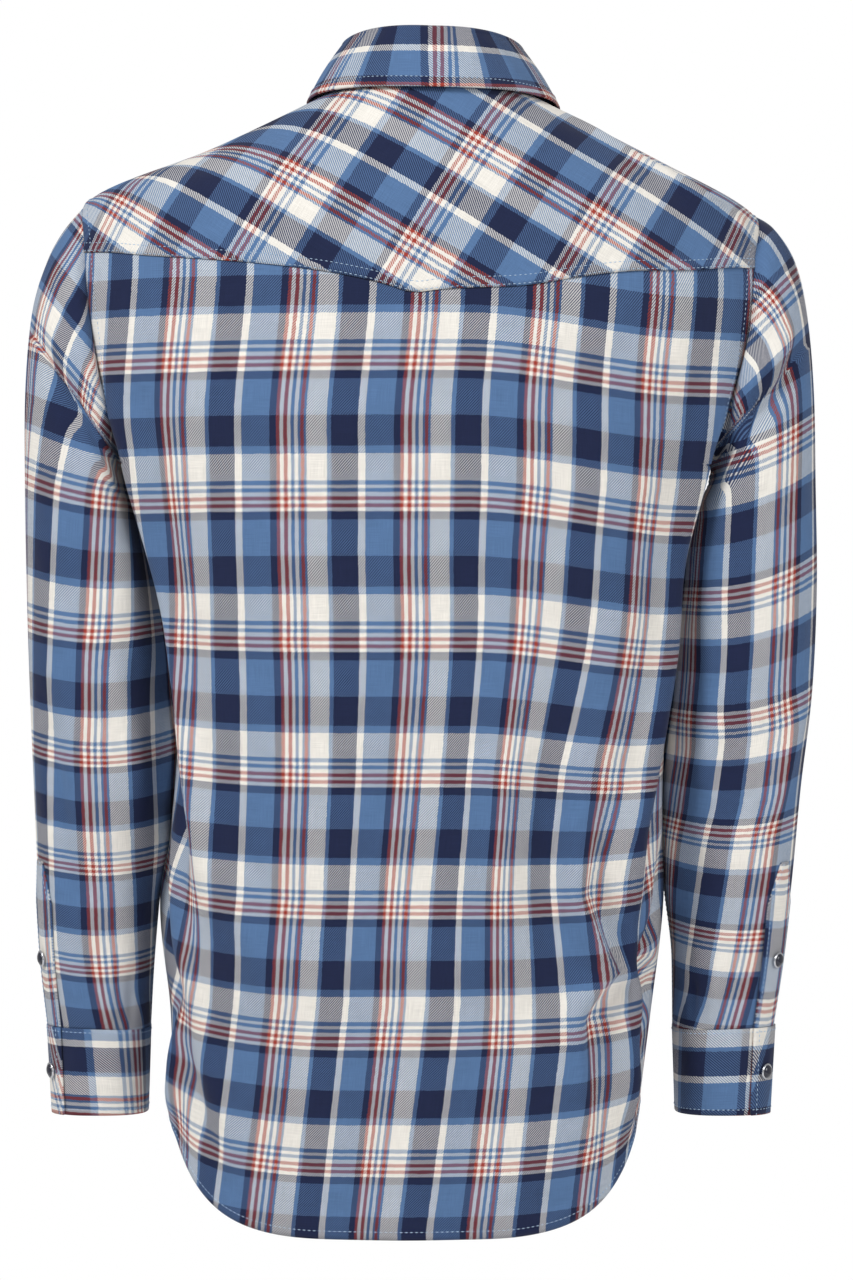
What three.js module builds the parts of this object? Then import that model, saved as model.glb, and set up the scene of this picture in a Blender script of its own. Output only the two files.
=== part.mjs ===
// A long-sleeved western snap shirt, men's medium, filled out as on a wearer but empty.
// Millimetres. +Z is up, the front faces -Y, the wearer's left is +X, and the origin lies
// between the two neck points, where the shirt hangs on the shoulders.
import * as THREE from "three";

// Driving dimensions
const CLOTH = 1.2; // one layer of flannel, as a wall
const DOUBLE_CLOTH = 1.8; // collar, cuffs and plackets, two layers and a stiffener
const SEAM_GAP = 0.3; // between two pieces sewn edge to edge
const PLACKET_HALF = 17; // half the width of the front band
const OVERLAP_END = 45; // where the under front is back on the body's surface
const ROLL = 0.024; // the left shoulder sits higher than the right one
const SNAP_RADIUS = 5.5;
const SNAP_HEIGHT = 3.2;
const SNAP_SEAT = 0.7; // a snap's flat back touches the curved cloth only at its edge

// Sections of the body from the neck seam to the hem. Y and Z are those of the centre back,
// the side and the centre front, and fullness is how square the section's corner is.
const BODY_COLUMNS = [
  "backY", "backZ", "sideY", "sideZ", "frontY", "frontZ", "halfWidth", "midX", "fullness",
];
const BODY = table(BODY_COLUMNS, [
  [76, 12, -5, 7, -80, -72, 70, -6, 0.56], // neck seam
  [92, -28, -8, -33, -94, -96, 154, -7, 0.56], // middle of the shoulder
  [104, -62, -8, -66, -106, -120, 224, 1, 0.57], // shoulder tip
  [112, -103, -5, -100, -115, -148, 240, 3, 0.6],
  [118, -150, -2, -150, -121, -180, 240, 3, 0.62], // middle of the armhole
  [120, -205, 0, -205, -124, -218, 218, 6, 0.66],
  [119, -245, 0, -240, -124, -252, 198, 5, 0.72], // armpit
  [117, -306, 0, -304, -121, -306, 175.5, 3, 0.78],
  [113, -370, 0, -368, -117, -370, 167, 0, 0.82],
  [106, -461, -2, -458, -112, -461, 165, 3.5, 0.82], // waist
  [98, -545, -4, -535, -110, -540, 171, 8.5, 0.72],
  [90, -640, -6, -612, -108, -630, 163, 9, 0.66],
  [80, -757, -8, -680, -104, -742, 158.5, 12.5, 0.64], // hem
]);
const TIP = 2;
const ARMPIT = 6;
const HEM = 12;
const SEAM_TURN = 0.0009; // half a seam's gap, as a share of a quarter of the girth
const QUARTER_GIRTH = 215; // a quarter of the body's girth, to place folds by

// The armhole is an oval round the side, in sections down and quarter turns round.
const ARMHOLE_BACK = 0.28;
const ARMHOLE_FRONT = 0.31;
const ARMHOLE_STEPS = 14;
const ARMHOLE_GAP = 1; // at the shoulder, where two curved edges meet
const ARMPIT_GAP = 3.5; // at the armpit, where sleeve and side hang face to face

// Sleeve rings from the armhole to the cuff: the outer and the inner edge, half the depth
// from front to back, the depth's middle, and how far this arm hangs to the left.
const SLEEVE_COLUMNS = ["outerX", "outerZ", "innerX", "innerZ", "halfDepth", "midY", "drift"];
const SLEEVE = table(SLEEVE_COLUMNS, [
  [230, -66, 197, -240, 60, -3, 3], // the armhole itself, worked out from the body
  [240, -81, 201, -247, 65, -3, 3],
  [253, -103, 200, -256, 67, -4, 2],
  [262, -137, 195, -269, 68, -5, 3],
  [267, -190, 187, -293, 67, -6, 3],
  [268, -255, 178.5, -330, 65, -7, 2.5],
  [268, -325, 172, -375, 62, -8, 1.5],
  [265.5, -395, 168, -425, 59, -9, 2],
  [260.5, -460, 170, -478, 56, -11, 4.5],
  [256.5, -520, 174.5, -530, 52, -13, 6],
  [252, -575, 177.5, -580, 48, -16, 7.5],
  [246, -622, 179, -624, 42, -18, 8.5], // cuff seam
]);
const SLEEVE_ROWS = [0, 0.4, 0.8, 1.3, 2, 3, 4, 5, 6, 7, 8, 8.8, 9.4, 10, 10.5, 11];
const SLEEVE_QUARTER = 95;
const SLEEVE_SQUARE = 0.76; // a sleeve's section is squarer than an oval
const CUFF = { outerX: 243, innerX: 181, z: -682, halfDepth: 38, midY: -22 };
const CUFF_OVERLAP = 3; // sleeve columns that the cuff's two ends share

// Folds: from one place to another (quarter turns from the centre back, and height), with
// a width, a height over the cloth and a lap: 0 is a round ridge, 1 a ridge and its trough.
const FOLD_COLUMNS = ["turnA", "zA", "turnB", "zB", "width", "height", "lap"];
const BODY_FOLDS = rows(FOLD_COLUMNS, [
  [0.95, -470, 0.74, -640, 14, -8, 0],
  [0.72, -590, 0.9, -700, 13, 8, 0],
  [-0.62, -540, -0.82, -700, 15, 10, 1],
  [-0.9, -480, -0.72, -650, 12, -8, 0],
  [0.2, -520, 0.16, -740, 26, 4, 0],
  [-0.22, -500, -0.28, -730, 24, -4, 0],
  [-0.55, -50, -0.78, -95, 12, 4, 0],
  [1.25, -230, 1.5, -520, 24, 7, 1],
  [-1.25, -230, -1.45, -560, 22, 7, 1],
  [1.1, -500, 1.35, -700, 18, -6, 0],
  [-1.15, -480, -1.3, -690, 18, 6, 0],
]);
// The back hangs in a long drape at either side, from the armhole in towards the waist:
// where its ridge runs and how far it stands out, with a trough beside it.
const DRAPE_COLUMNS = ["z", "leftTurn", "leftLift", "rightTurn", "rightLift"];
const DRAPE = table(DRAPE_COLUMNS, [
  [-150, 0.66, 0, 0.66, 0],
  [-200, 0.7, 6, 0.7, 6],
  [-250, 0.75, 12, 0.74, 11],
  [-300, 0.77, 13, 0.75, 11],
  [-365, 0.74, 12, 0.73, 11],
  [-415, 0.68, 11, 0.68, 10],
  [-450, 0.63, 10, 0.64, 9],
  [-490, 0.56, 9, 0.58, 9],
  [-560, 0.5, 0, 0.55, 0],
]);
const DRAPE_FORM = { width: 15, trough: 30, depth: 0.8 };
const SLEEVE_FOLDS = {
  left: rows(FOLD_COLUMNS, [
    [0.1, -195, 1.1, -290, 12, -6, 0],
    [0.9, -330, 1.5, -500, 14, 6, 0],
    [0.5, -380, 0.9, -560, 12, -5, 0],
    [3.6, -180, 2.8, -300, 13, -6, 0],
    [3.4, -360, 2.7, -430, 12, 6, 0],
    [3.3, -420, 2.5, -470, 11, -5, 0],
    [1.1, -570, 1.15, -640, 7, 4, 0],
    [1.4, -580, 1.42, -640, 7, -3, 0],
  ]),
  right: rows(FOLD_COLUMNS, [
    [0.2, -190, 1.2, -280, 12, -7, 0],
    [1.0, -300, 1.4, -470, 14, 6, 0],
    [0.4, -380, 0.8, -500, 13, 5, 0],
    [3.5, -190, 2.8, -310, 13, -6, 0],
    [3.5, -370, 2.7, -420, 12, 6, 0],
    [3.2, -430, 2.6, -490, 11, -5, 0],
    [1.1, -570, 1.15, -640, 7, 4, 0],
    [1.4, -580, 1.42, -640, 7, -3, 0],
  ]),
};

// Yoke edges, as sections down from the neck seam
const BACK_YOKE = {
  edgeStep: 5,
  point: 0.5,
  pointShare: 0.62,
  pointWidth: 0.12,
  pointTurn: 0.05,
  reach: 0.72,
  rightDrop: 0.12,
};
const FRONT_YOKE = { edgeStep: 7, dip: 0.3, dipAt: 0.42, dipWidth: 0.16, centreLift: 0.95 };

// Collar: the stand's lean and height, and where the leaf's edge lies over the body.
const STAND = {
  narrowX: 0.81, narrowY: 0.87, back: 32, side: 34, front: 29, gap: 1, underlap: -2.4,
};
const LEAF_COLUMNS = ["turn", "edgeTurn", "section", "clearance"];
const LEAF = rows(LEAF_COLUMNS, [
  [0, 0, 0.28, 6],
  [0.6, 0.6, 0.27, 5],
  [1, 1, 0.23, 4.5],
  [1.35, 1.36, 0.36, 4],
  [1.7, 1.63, 0.8, 4],
  [1.96, 1.8, 1.25, 4],
]);
const LEAF_ROLL = { out: 4.8, up: 3.4 };

const FRONT_SNAP_Z = [-128, -216, -304, -392, -480, -568];

const BLUE = 0x52709f;
const NAVY = 0x232a4c;

function table(columns, values) {
  return Object.fromEntries(columns.map((name, i) => [name, values.map((row) => row[i])]));
}

function rows(columns, values) {
  return values.map((row) => Object.fromEntries(columns.map((name, i) => [name, row[i]])));
}

function smooth(t) {
  const s = Math.min(Math.max(t, 0), 1);
  return s * s * (3 - 2 * s);
}

function power(value, exponent) {
  return Math.sign(value) * Math.abs(value) ** exponent;
}

function lerp(a, b, t) {
  return a + (b - a) * t;
}

// A smooth curve through a table's column.
function spline(values, at) {
  const last = values.length - 1;
  const i = Math.min(Math.max(Math.floor(at), 0), last - 1);
  const t = at - i;
  const value = (k) => values[Math.min(Math.max(k, 0), last)];
  const [a, b, c, d] = [value(i - 1), value(i), value(i + 1), value(i + 2)];
  return b + 0.5 * t * (c - a + t * (2 * a - 5 * b + 4 * c - d + t * (3 * (b - c) + d - a)));
}

// How far folds lift the cloth at a place: quarter turns round a tube, and height.
function foldLift(folds, quarter, turn, z) {
  let lift = 0;
  for (const f of folds) {
    const round = 4 * Math.round((turn - (f.turnA + f.turnB) / 2) / 4);
    const x = (turn - round - f.turnA) * quarter;
    const runX = (f.turnB - f.turnA) * quarter;
    const runZ = f.zB - f.zA;
    const length = Math.hypot(runX, runZ);
    const t = (x * runX + (z - f.zA) * runZ) / length ** 2;
    const across = (x * runZ - (z - f.zA) * runX) / length / f.width;
    const side = f.lap ? across * Math.sign(f.turnA) : 1;
    const bell = Math.exp((f.lap ? 0.5 : 0) - across ** 2 * (f.lap ? 0.5 : 1));
    lift += f.height * side * bell * smooth(t * 3) * smooth((1 - t) * 3);
  }
  return lift;
}

function drapeLift(turn, z) {
  const last = DRAPE.z.length - 1;
  let i = 0;
  while (i < last - 1 && DRAPE.z[i + 1] > z) i += 1;
  const share = (z - DRAPE.z[i]) / (DRAPE.z[i + 1] - DRAPE.z[i]);
  const at = i + Math.min(Math.max(share, 0), 1);
  const side = turn > 0 ? "left" : "right";
  const off = (Math.abs(turn) - spline(DRAPE[side + "Turn"], at)) * QUARTER_GIRTH;
  const bell = (middle) => Math.exp(-(((off - middle) / DRAPE_FORM.width) ** 2));
  return spline(DRAPE[side + "Lift"], at) * (bell(0) - DRAPE_FORM.depth * bell(DRAPE_FORM.trough));
}

// Body surface: turn 0 is the centre back, 1 the left side, 2 the centre front, -1 the right.
function unwrap(turn) {
  return turn - 4 * Math.round(turn / 4);
}

function acrossAt(u, k) {
  return 3 * (1 - u) ** 2 * u * k + 3 * (1 - u) * u * u + u ** 3;
}

function bodyBase(anyTurn, v) {
  const turn = unwrap(anyTurn);
  const side = turn < 0 ? -1 : 1;
  const face = Math.abs(turn) > 1 ? "front" : "back";
  const u = face === "front" ? 2 - Math.abs(turn) : Math.abs(turn);
  const at = (name) => spline(BODY[name], v);
  const k = at("fullness");
  const deep = (1 - u) ** 3 + 3 * (1 - u) ** 2 * u + 3 * (1 - u) * u * u * k;
  const x = at("midX") + side * at("halfWidth") * acrossAt(u, k);
  const y = lerp(at("sideY"), at(face + "Y"), deep);
  const curve = lerp(1.5, 2.0, smooth((v - ARMPIT) / (HEM - ARMPIT)));
  const level = lerp(at(face + "Z"), at("sideZ"), smooth(u ** curve));
  const z = level + ROLL * x * (1 - smooth((v - 4) / 3));
  return new THREE.Vector3(x, y, z);
}

function surfaceNormal(base, a, b, da, db) {
  const across = base(a + da, b).sub(base(a - da, b));
  const down = base(a, b + db).sub(base(a, b - db));
  return across.cross(down).normalize();
}

function bodyNormal(turn, v) {
  return surfaceNormal(bodyBase, turn, Math.min(Math.max(v, 0.05), HEM - 0.05), 0.02, 0.05);
}

function bodyPoint(turn, v, out = 0) {
  const point = bodyBase(turn, v);
  const folds = foldLift(BODY_FOLDS, QUARTER_GIRTH, unwrap(turn), point.z);
  const lift = folds + drapeLift(unwrap(turn), point.z);
  return point.addScaledVector(bodyNormal(turn, v), lift + out);
}

// How far round, in quarter turns, a place lies that is so many millimetres from the centre.
function turnsTo(distance, v) {
  const wanted = Math.abs(distance) / spline(BODY.halfWidth, v);
  const k = spline(BODY.fullness, v);
  let [low, high] = [0, 1];
  for (let step = 0; step < 24; step += 1) {
    const middle = (low + high) / 2;
    if (acrossAt(middle, k) < wanted) low = middle;
    else high = middle;
  }
  return Math.sign(distance) * low;
}

function armholeReach(depth, v) {
  const round = 1 - ((v - (TIP + ARMPIT) / 2) / 2) ** 2;
  return 1 - depth * Math.sqrt(Math.max(round, 0));
}

// Section stations that all panels share, so that neighbours meet corner to corner.
const armholeStation = (step) => 4 - 2 * Math.cos((Math.PI * step) / ARMHOLE_STEPS);
const STATIONS = [
  ...[0, 0.4, 0.8, 1.2, 1.6],
  ...Array.from({ length: ARMHOLE_STEPS + 1 }, (_, step) => armholeStation(step)),
  ...[6.5, 7, 7.5, 8, 8.6, 9.2, 9.8, 10.4, 11, 11.5, HEM],
];
const FIRST_ARMHOLE = 5;
const backYokeRow = FIRST_ARMHOLE + BACK_YOKE.edgeStep;
const frontYokeRow = FIRST_ARMHOLE + FRONT_YOKE.edgeStep;

// The back yoke's point lies a little left of the middle, and its right half hangs lower.
function backYokeEdge(turn) {
  const free = 1 - smooth((Math.abs(turn) - 0.5) / (BACK_YOKE.reach - 0.5));
  const u = Math.abs(turn - BACK_YOKE.pointTurn);
  const straight = (1 - BACK_YOKE.pointShare) * Math.max(1 - u / BACK_YOKE.reach, 0);
  const point = BACK_YOKE.pointShare * Math.exp(-u / BACK_YOKE.pointWidth);
  const drop = BACK_YOKE.rightDrop * smooth(-turn / 0.5);
  return STATIONS[backYokeRow] + (BACK_YOKE.point * (straight + point) + drop) * free;
}

function frontYokeEdge(u) {
  const dip = FRONT_YOKE.dip * Math.exp(-Math.abs(u - FRONT_YOKE.dipAt) / FRONT_YOKE.dipWidth);
  const lift = FRONT_YOKE.centreLift * (1 - smooth(Math.max(u, 0) / 0.4));
  return STATIONS[frontYokeRow] + (u < 0.68 ? (dip - lift) * smooth((0.68 - u) / 0.12) : 0);
}

// The section of a row at a place across it: rows bend with the yoke's edge.
function bentStation(row, yokeRow, edge) {
  const level = STATIONS[row];
  const straight = STATIONS[yokeRow];
  if (row <= yokeRow) return (level * edge) / straight;
  return edge + ((level - straight) * (HEM - edge)) / (HEM - straight);
}

const BACK_COLUMNS = 34;
const SIDE_CROWDING = 0.8; // grid lines lie closer together where the folds are
function backColumn(column, columns, row) {
  const even = (2 * column) / columns - 1;
  const share = Math.sign(even) * Math.abs(even) ** SIDE_CROWDING;
  const reach = armholeReach(ARMHOLE_BACK, STATIONS[row]);
  const seam = reach - (STATIONS[row] <= TIP || STATIONS[row] >= ARMPIT ? SEAM_TURN : 0);
  const turn = share * seam;
  return { turn, v: bentStation(row, backYokeRow, backYokeEdge(turn)) };
}

const FRONT_COLUMNS = 11;
function frontColumn(side, column, row) {
  const level = STATIONS[row];
  const reach = armholeReach(ARMHOLE_FRONT, level);
  const seam = reach - (level <= TIP || level >= ARMPIT ? SEAM_TURN : 0);
  const fixed = [-PLACKET_HALF, 0, PLACKET_HALF, OVERLAP_END];
  const last = turnsTo(OVERLAP_END, level);
  const share = (column - 3) / (FRONT_COLUMNS - 3);
  const u = column < 4 ? turnsTo(fixed[column], level) : lerp(last, seam, share);
  const v = bentStation(row, frontYokeRow, frontYokeEdge(u));
  return { turn: side * (2 - u), v };
}

// A closed wall: a grid of places in the middle of the cloth, thickened both ways.
function wall(across, down, place, thickness, options = {}) {
  const { round = false, outward = 1 } = options;
  const grid = [];
  for (let j = 0; j <= down; j += 1)
    for (let i = 0; i < (round ? across : across + 1); i += 1) grid.push(place(i, j));
  const width = round ? across : across + 1;
  const at = (i, j) => {
    const column = round ? (i + width) % width : Math.min(Math.max(i, 0), across);
    return j * width + column;
  };
  const positions = [];
  const normals = grid.map((_, index) => {
    const [i, j] = [index % width, Math.floor(index / width)];
    const sideways = grid[at(i + 1, j)].clone().sub(grid[at(i - 1, j)]);
    const lower = grid[at(i, Math.min(j + 1, down))];
    const upper = grid[at(i, Math.max(j - 1, 0))];
    return sideways.cross(lower.clone().sub(upper)).normalize().multiplyScalar(outward);
  });
  for (const way of [0.5, -0.5])
    grid.forEach((point, index) => {
      positions.push(...point.clone().addScaledVector(normals[index], way * thickness));
    });
  const under = grid.length;
  const faces = [];
  const quad = (a, b, c, d) => faces.push(a, b, c, b, d, c);
  for (let j = 0; j < down; j += 1)
    for (let i = 0; i < across; i += 1) {
      const [a, b, c, d] = [at(i, j), at(i + 1, j), at(i, j + 1), at(i + 1, j + 1)];
      quad(a, b, c, d);
      quad(b + under, a + under, d + under, c + under);
    }
  for (let i = 0; i < across; i += 1) {
    quad(at(i, 0) + under, at(i + 1, 0) + under, at(i, 0), at(i + 1, 0));
    quad(at(i, down), at(i + 1, down), at(i, down) + under, at(i + 1, down) + under);
  }
  if (!round)
    for (let j = 0; j < down; j += 1) {
      quad(at(0, j), at(0, j + 1), at(0, j) + under, at(0, j + 1) + under);
      quad(at(across, j) + under, at(across, j + 1) + under, at(across, j), at(across, j + 1));
    }
  if (outward < 0) faces.reverse();
  const geometry = new THREE.BufferGeometry();
  geometry.setAttribute("position", new THREE.Float32BufferAttribute(positions, 3));
  geometry.setIndex(faces);
  geometry.computeVertexNormals();
  return geometry;
}

const shirt = new THREE.Group();

function add(name, geometry, color, look = {}) {
  const { roughness = 0.9, metalness = 0 } = look;
  const material = new THREE.MeshStandardMaterial({ color, roughness, metalness });
  const mesh = new THREE.Mesh(geometry, material);
  mesh.name = name;
  shirt.add(mesh);
  return mesh;
}

// Rows from one to another, drawn back from a seam at either end.
function panelRows(from, to, cut) {
  return (j) => {
    const row = from + j;
    const back = (cut.top && j === 0 ? 0.5 : 0) - (cut.bottom && row === to ? 0.5 : 0);
    return { row, shift: back * SEAM_GAP };
  };
}

function bodyAt(place, shift, out = 0) {
  const point = bodyPoint(place.turn, place.v, out);
  if (!shift) return point;
  const down = bodyPoint(place.turn, place.v + 0.05, out).sub(point).normalize();
  return point.addScaledVector(down, shift);
}

function addBack() {
  const last = STATIONS.length - 1;
  const yokeRows = panelRows(0, backYokeRow, { bottom: true });
  const yoke = (i, j) => {
    const { row, shift } = yokeRows(j);
    return bodyAt(backColumn(i, BACK_COLUMNS, row), shift);
  };
  add("back_yoke", wall(BACK_COLUMNS, backYokeRow, yoke, CLOTH), BLUE);
  const panel = panelRows(backYokeRow, last, { top: true });
  const back = (i, j) => {
    const { row, shift } = panel(j);
    return bodyAt(backColumn(i, BACK_COLUMNS, row), shift);
  };
  add("back", wall(BACK_COLUMNS, last - backYokeRow, back, CLOTH), BLUE);
}

// The right front passes under the left one, so it is drawn in near the centre.
const UNDERLAP = -(CLOTH + SEAM_GAP + 0.2);
function frontAt(side, column, row, shift, out = 0) {
  const under = side < 0 && column < 3 ? UNDERLAP : 0;
  return bodyAt(frontColumn(side, column, row), shift, under + out);
}

function addFront(side, name) {
  const last = STATIONS.length - 1;
  const yokeRows = panelRows(0, frontYokeRow, { bottom: true });
  const yoke = (i, j) => {
    const { row, shift } = yokeRows(j);
    return frontAt(side, i, row, shift);
  };
  const panel = panelRows(frontYokeRow, last, { top: true });
  const front = (i, j) => {
    const { row, shift } = panel(j);
    return frontAt(side, i, row, shift);
  };
  const options = { outward: -side };
  add("front_yoke_" + name, wall(FRONT_COLUMNS, frontYokeRow, yoke, CLOTH, options), BLUE);
  const down = last - frontYokeRow;
  add("front_" + name, wall(FRONT_COLUMNS, down, front, CLOTH, options), BLUE);
}

const BAND_OUT = (CLOTH + DOUBLE_CLOTH) / 2 + SEAM_GAP;
function addFrontPlacket() {
  const band = (i, j) => frontAt(1, i, j, 0, BAND_OUT);
  add("front_placket", wall(2, STATIONS.length - 1, band, DOUBLE_CLOTH, { outward: -1 }), BLUE);
}

// Sleeves: ring places go from the outer edge to the back, the inner edge and the front.
const AROUND = 2 * ARMHOLE_STEPS;
function armholePoint(side, turn) {
  const back = turn <= 2;
  const angle = ((back ? turn : 4 - turn) * Math.PI) / 2;
  const v = 4 - 2 * Math.cos(angle);
  const u = 1 - (back ? ARMHOLE_BACK : ARMHOLE_FRONT) * Math.sin(angle);
  const point = bodyPoint(side * (back ? u : 2 - u), v);
  point.x += side * lerp(ARMHOLE_GAP, ARMPIT_GAP, ((1 - Math.cos(angle)) / 2) ** 2);
  return point;
}

function sleeveRing(side, turn, ring) {
  if (ring <= 0) return armholePoint(side, turn);
  const at = (name) => SLEEVE[name][Math.min(ring, SLEEVE.midY.length - 1)];
  const angle = (turn * Math.PI) / 2;
  const square = lerp(1, SLEEVE_SQUARE, Math.min(ring / 3, 1));
  const outer = (1 + power(Math.cos(angle), square)) / 2;
  const x = side * lerp(at("innerX"), at("outerX"), outer) + at("drift");
  const y = at("midY") + at("halfDepth") * power(Math.sin(angle), square);
  const z = lerp(at("innerZ"), at("outerZ"), outer);
  return new THREE.Vector3(x, y, z);
}

function sleeveBase(side, anyTurn, w) {
  const turn = anyTurn - 4 * Math.floor(anyTurn / 4);
  const ring = Math.min(Math.floor(w), SLEEVE.midY.length - 2);
  const rings = [-1, 0, 1, 2].map((k) => sleeveRing(side, turn, ring + k));
  const axis = (name) => spline(rings.map((p) => p[name]), 1 + w - ring);
  return new THREE.Vector3(axis("x"), axis("y"), axis("z"));
}

function sleevePoint(side, turn, w, out = 0) {
  const base = (a, b) => sleeveBase(side, a, b);
  const point = base(turn, w);
  const normal = surfaceNormal(base, turn, Math.max(w, 0.1), 0.02, 0.05).multiplyScalar(-side);
  const folds = side > 0 ? SLEEVE_FOLDS.left : SLEEVE_FOLDS.right;
  const free = smooth(w / 1.5) * smooth((11 - w) / 0.6);
  const lift = foldLift(folds, SLEEVE_QUARTER, turn - 4 * Math.floor(turn / 4), point.z);
  return point.addScaledVector(normal, lift * free + out);
}

const turnOf = (column) => (4 * column) / AROUND;

function addSleeve(side, name) {
  const down = SLEEVE_ROWS.length - 1;
  const place = (i, j) => sleevePoint(side, turnOf(i), SLEEVE_ROWS[j]);
  add("sleeve_" + name, wall(AROUND, down, place, CLOTH, { round: true, outward: -side }), BLUE);
}

// The tower placket lies on the sleeve, on the sleeve's own lines, and ends in a point.
const PLACKET_FIRST = { left: 1, right: 2 };
const PLACKET_COLUMNS = 3;
const PLACKET_TIP_LIFT = 1.2; // the narrow end stands off the sleeve's corners
const PLACKET_END = 10.97; // just above the cuff
const PLACKET_TOP_ROW = SLEEVE_ROWS.indexOf(8.8);
function addSleevePlacket(side, name) {
  const first = PLACKET_FIRST[name];
  const down = SLEEVE_ROWS.length - 1 - PLACKET_TOP_ROW;
  const place = (i, j) => {
    const w = Math.min(SLEEVE_ROWS[PLACKET_TOP_ROW + j], PLACKET_END);
    const middle = first + PLACKET_COLUMNS / 2;
    const share = (i / PLACKET_COLUMNS - 0.5) * (j === 0 ? 0.3 : 1) * PLACKET_COLUMNS;
    const out = BAND_OUT + (j === 0 ? PLACKET_TIP_LIFT : 0);
    const column = middle + share;
    const low = Math.floor(column + 1e-6);
    const [a, b] = [low, low + 1].map((c) => sleevePoint(side, turnOf(c), w, out));
    return a.lerp(b, column - low);
  };
  const geometry = wall(PLACKET_COLUMNS, down, place, DOUBLE_CLOTH, { outward: -side });
  add("sleeve_placket_" + name, geometry, BLUE);
}

// A cuff goes once round from the placket and on over its own start.
function cuffPoint(side, column, depth, out = 0) {
  const ring = SLEEVE.midY.length - 1;
  const top = sleeveBase(side, turnOf(column), ring);
  const angle = (turnOf(column) * Math.PI) / 2;
  const outer = (1 + power(Math.cos(angle), SLEEVE_SQUARE)) / 2;
  const drift = SLEEVE.drift[ring];
  const low = new THREE.Vector3(
    side * lerp(CUFF.innerX, CUFF.outerX, outer) + drift,
    CUFF.midY + CUFF.halfDepth * power(Math.sin(angle), SLEEVE_SQUARE),
    CUFF.z,
  );
  const point = top.lerp(low, depth);
  if (depth === 0) point.z -= SEAM_GAP + 0.1;
  const normal = new THREE.Vector3(side * Math.cos(angle), Math.sin(angle), 0);
  return point.addScaledVector(normal, out);
}

function cuffLap(column, first) {
  const over = column - first - (AROUND - 3);
  return (DOUBLE_CLOTH + SEAM_GAP + 0.3) * smooth(over / 3);
}

function addCuff(side, name) {
  const first = PLACKET_FIRST[name];
  const place = (i, j) => cuffPoint(side, first + i, j / 3, cuffLap(first + i, first));
  const across = AROUND + CUFF_OVERLAP;
  add("cuff_" + name, wall(across, 3, place, DOUBLE_CLOTH, { outward: -side }), BLUE);
}

// Collar
function standHeight(turn) {
  const u = Math.abs(turn);
  return u < 1 ? lerp(STAND.back, STAND.side, u) : lerp(STAND.side, STAND.front, u - 1);
}

function standPoint(turn, share, out = 0) {
  const base = bodyBase(turn, 0);
  const midX = BODY.midX[0];
  const top = new THREE.Vector3(
    midX + (base.x - midX) * STAND.narrowX,
    BODY.sideY[0] + (base.y - BODY.sideY[0]) * STAND.narrowY,
    base.z + standHeight(unwrap(turn)),
  );
  const rise = top.clone().sub(base);
  const point = base.addScaledVector(rise, lerp(STAND.gap / rise.length(), 1, share));
  const outward = new THREE.Vector3(point.x - midX, point.y - BODY.sideY[0], 0).normalize();
  return point.addScaledVector(outward, out);
}

// Neck places from the left front's edge, round the back, to the right front's edge.
function neckTurns() {
  const front = (side) =>
    Array.from({ length: FRONT_COLUMNS + 1 }, (_, i) => frontColumn(side, i, 0).turn);
  const back = Array.from({ length: 13 }, (_, i) => (1 - SEAM_TURN) * (1 - i / 6));
  return [...front(1).slice(0, -1), ...back, ...front(-1).slice(0, -1).reverse()];
}

function addCollar() {
  const turns = neckTurns();
  const last = turns.length - 1;
  const stand = (i, j) => standPoint(turns[i], j / 2, i > last - 3 ? STAND.underlap : 0);
  add("collar_stand", wall(last, 2, stand, DOUBLE_CLOTH), BLUE);
  const steps = 44;
  const leaf = (i, j) => leafPoint(LEAF[LEAF.length - 1].turn * (1 - (2 * i) / steps), j);
  add("collar_leaf", wall(steps, LEAF_ROWS.length - 1, leaf, DOUBLE_CLOTH, { outward: -1 }), BLUE);
}

function leafEdge(turn) {
  const size = Math.abs(turn);
  let i = 0;
  while (i < LEAF.length - 2 && LEAF[i + 1].turn < size) i += 1;
  const at = i + (size - LEAF[i].turn) / (LEAF[i + 1].turn - LEAF[i].turn);
  const column = (name) => spline(LEAF.map((row) => row[name]), at);
  const side = turn < 0 ? -1 : 1;
  return bodyPoint(side * column("edgeTurn"), column("section"), column("clearance"));
}

// The leaf comes off the stand's top, rolls over and falls to its edge.
const LEAF_ROWS = [0, 0.07, 0.2, 0.45, 0.72, 1];
function leafPoint(turn, row) {
  const share = LEAF_ROWS[row];
  const top = standPoint(turn, 1);
  top.z += LEAF_ROLL.up;
  if (row === 0) return top;
  const shoulder = standPoint(turn, 1, LEAF_ROLL.out);
  shoulder.z += LEAF_ROLL.up - (row === 1 ? 0.4 : 2.6);
  if (row === 1) return top.lerp(shoulder, 0.75);
  const fall = (share - LEAF_ROWS[2]) / (1 - LEAF_ROWS[2]);
  return shoulder.lerp(leafEdge(turn), fall);
}

// Snaps: a domed cap in a rim, with its flat back on the cloth.
const SNAP_PROFILE = [
  [0, 0], [0.9, 0], [1, 0.25], [0.93, 0.55], [0.74, 0.5], [0.6, 0.78], [0.3, 0.96], [0, 1],
];
function addSnap(name, point, normal) {
  const profile = SNAP_PROFILE.map(
    ([radius, height]) => new THREE.Vector2(radius * SNAP_RADIUS, height * SNAP_HEIGHT),
  );
  const geometry = new THREE.LatheGeometry(profile, 12);
  const snap = add(name, geometry, NAVY, { roughness: 0.3, metalness: 0.4 });
  snap.quaternion.setFromUnitVectors(new THREE.Vector3(0, 1, 0), normal);
  snap.position.copy(point).addScaledVector(normal, SNAP_SEAT);
}

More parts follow.
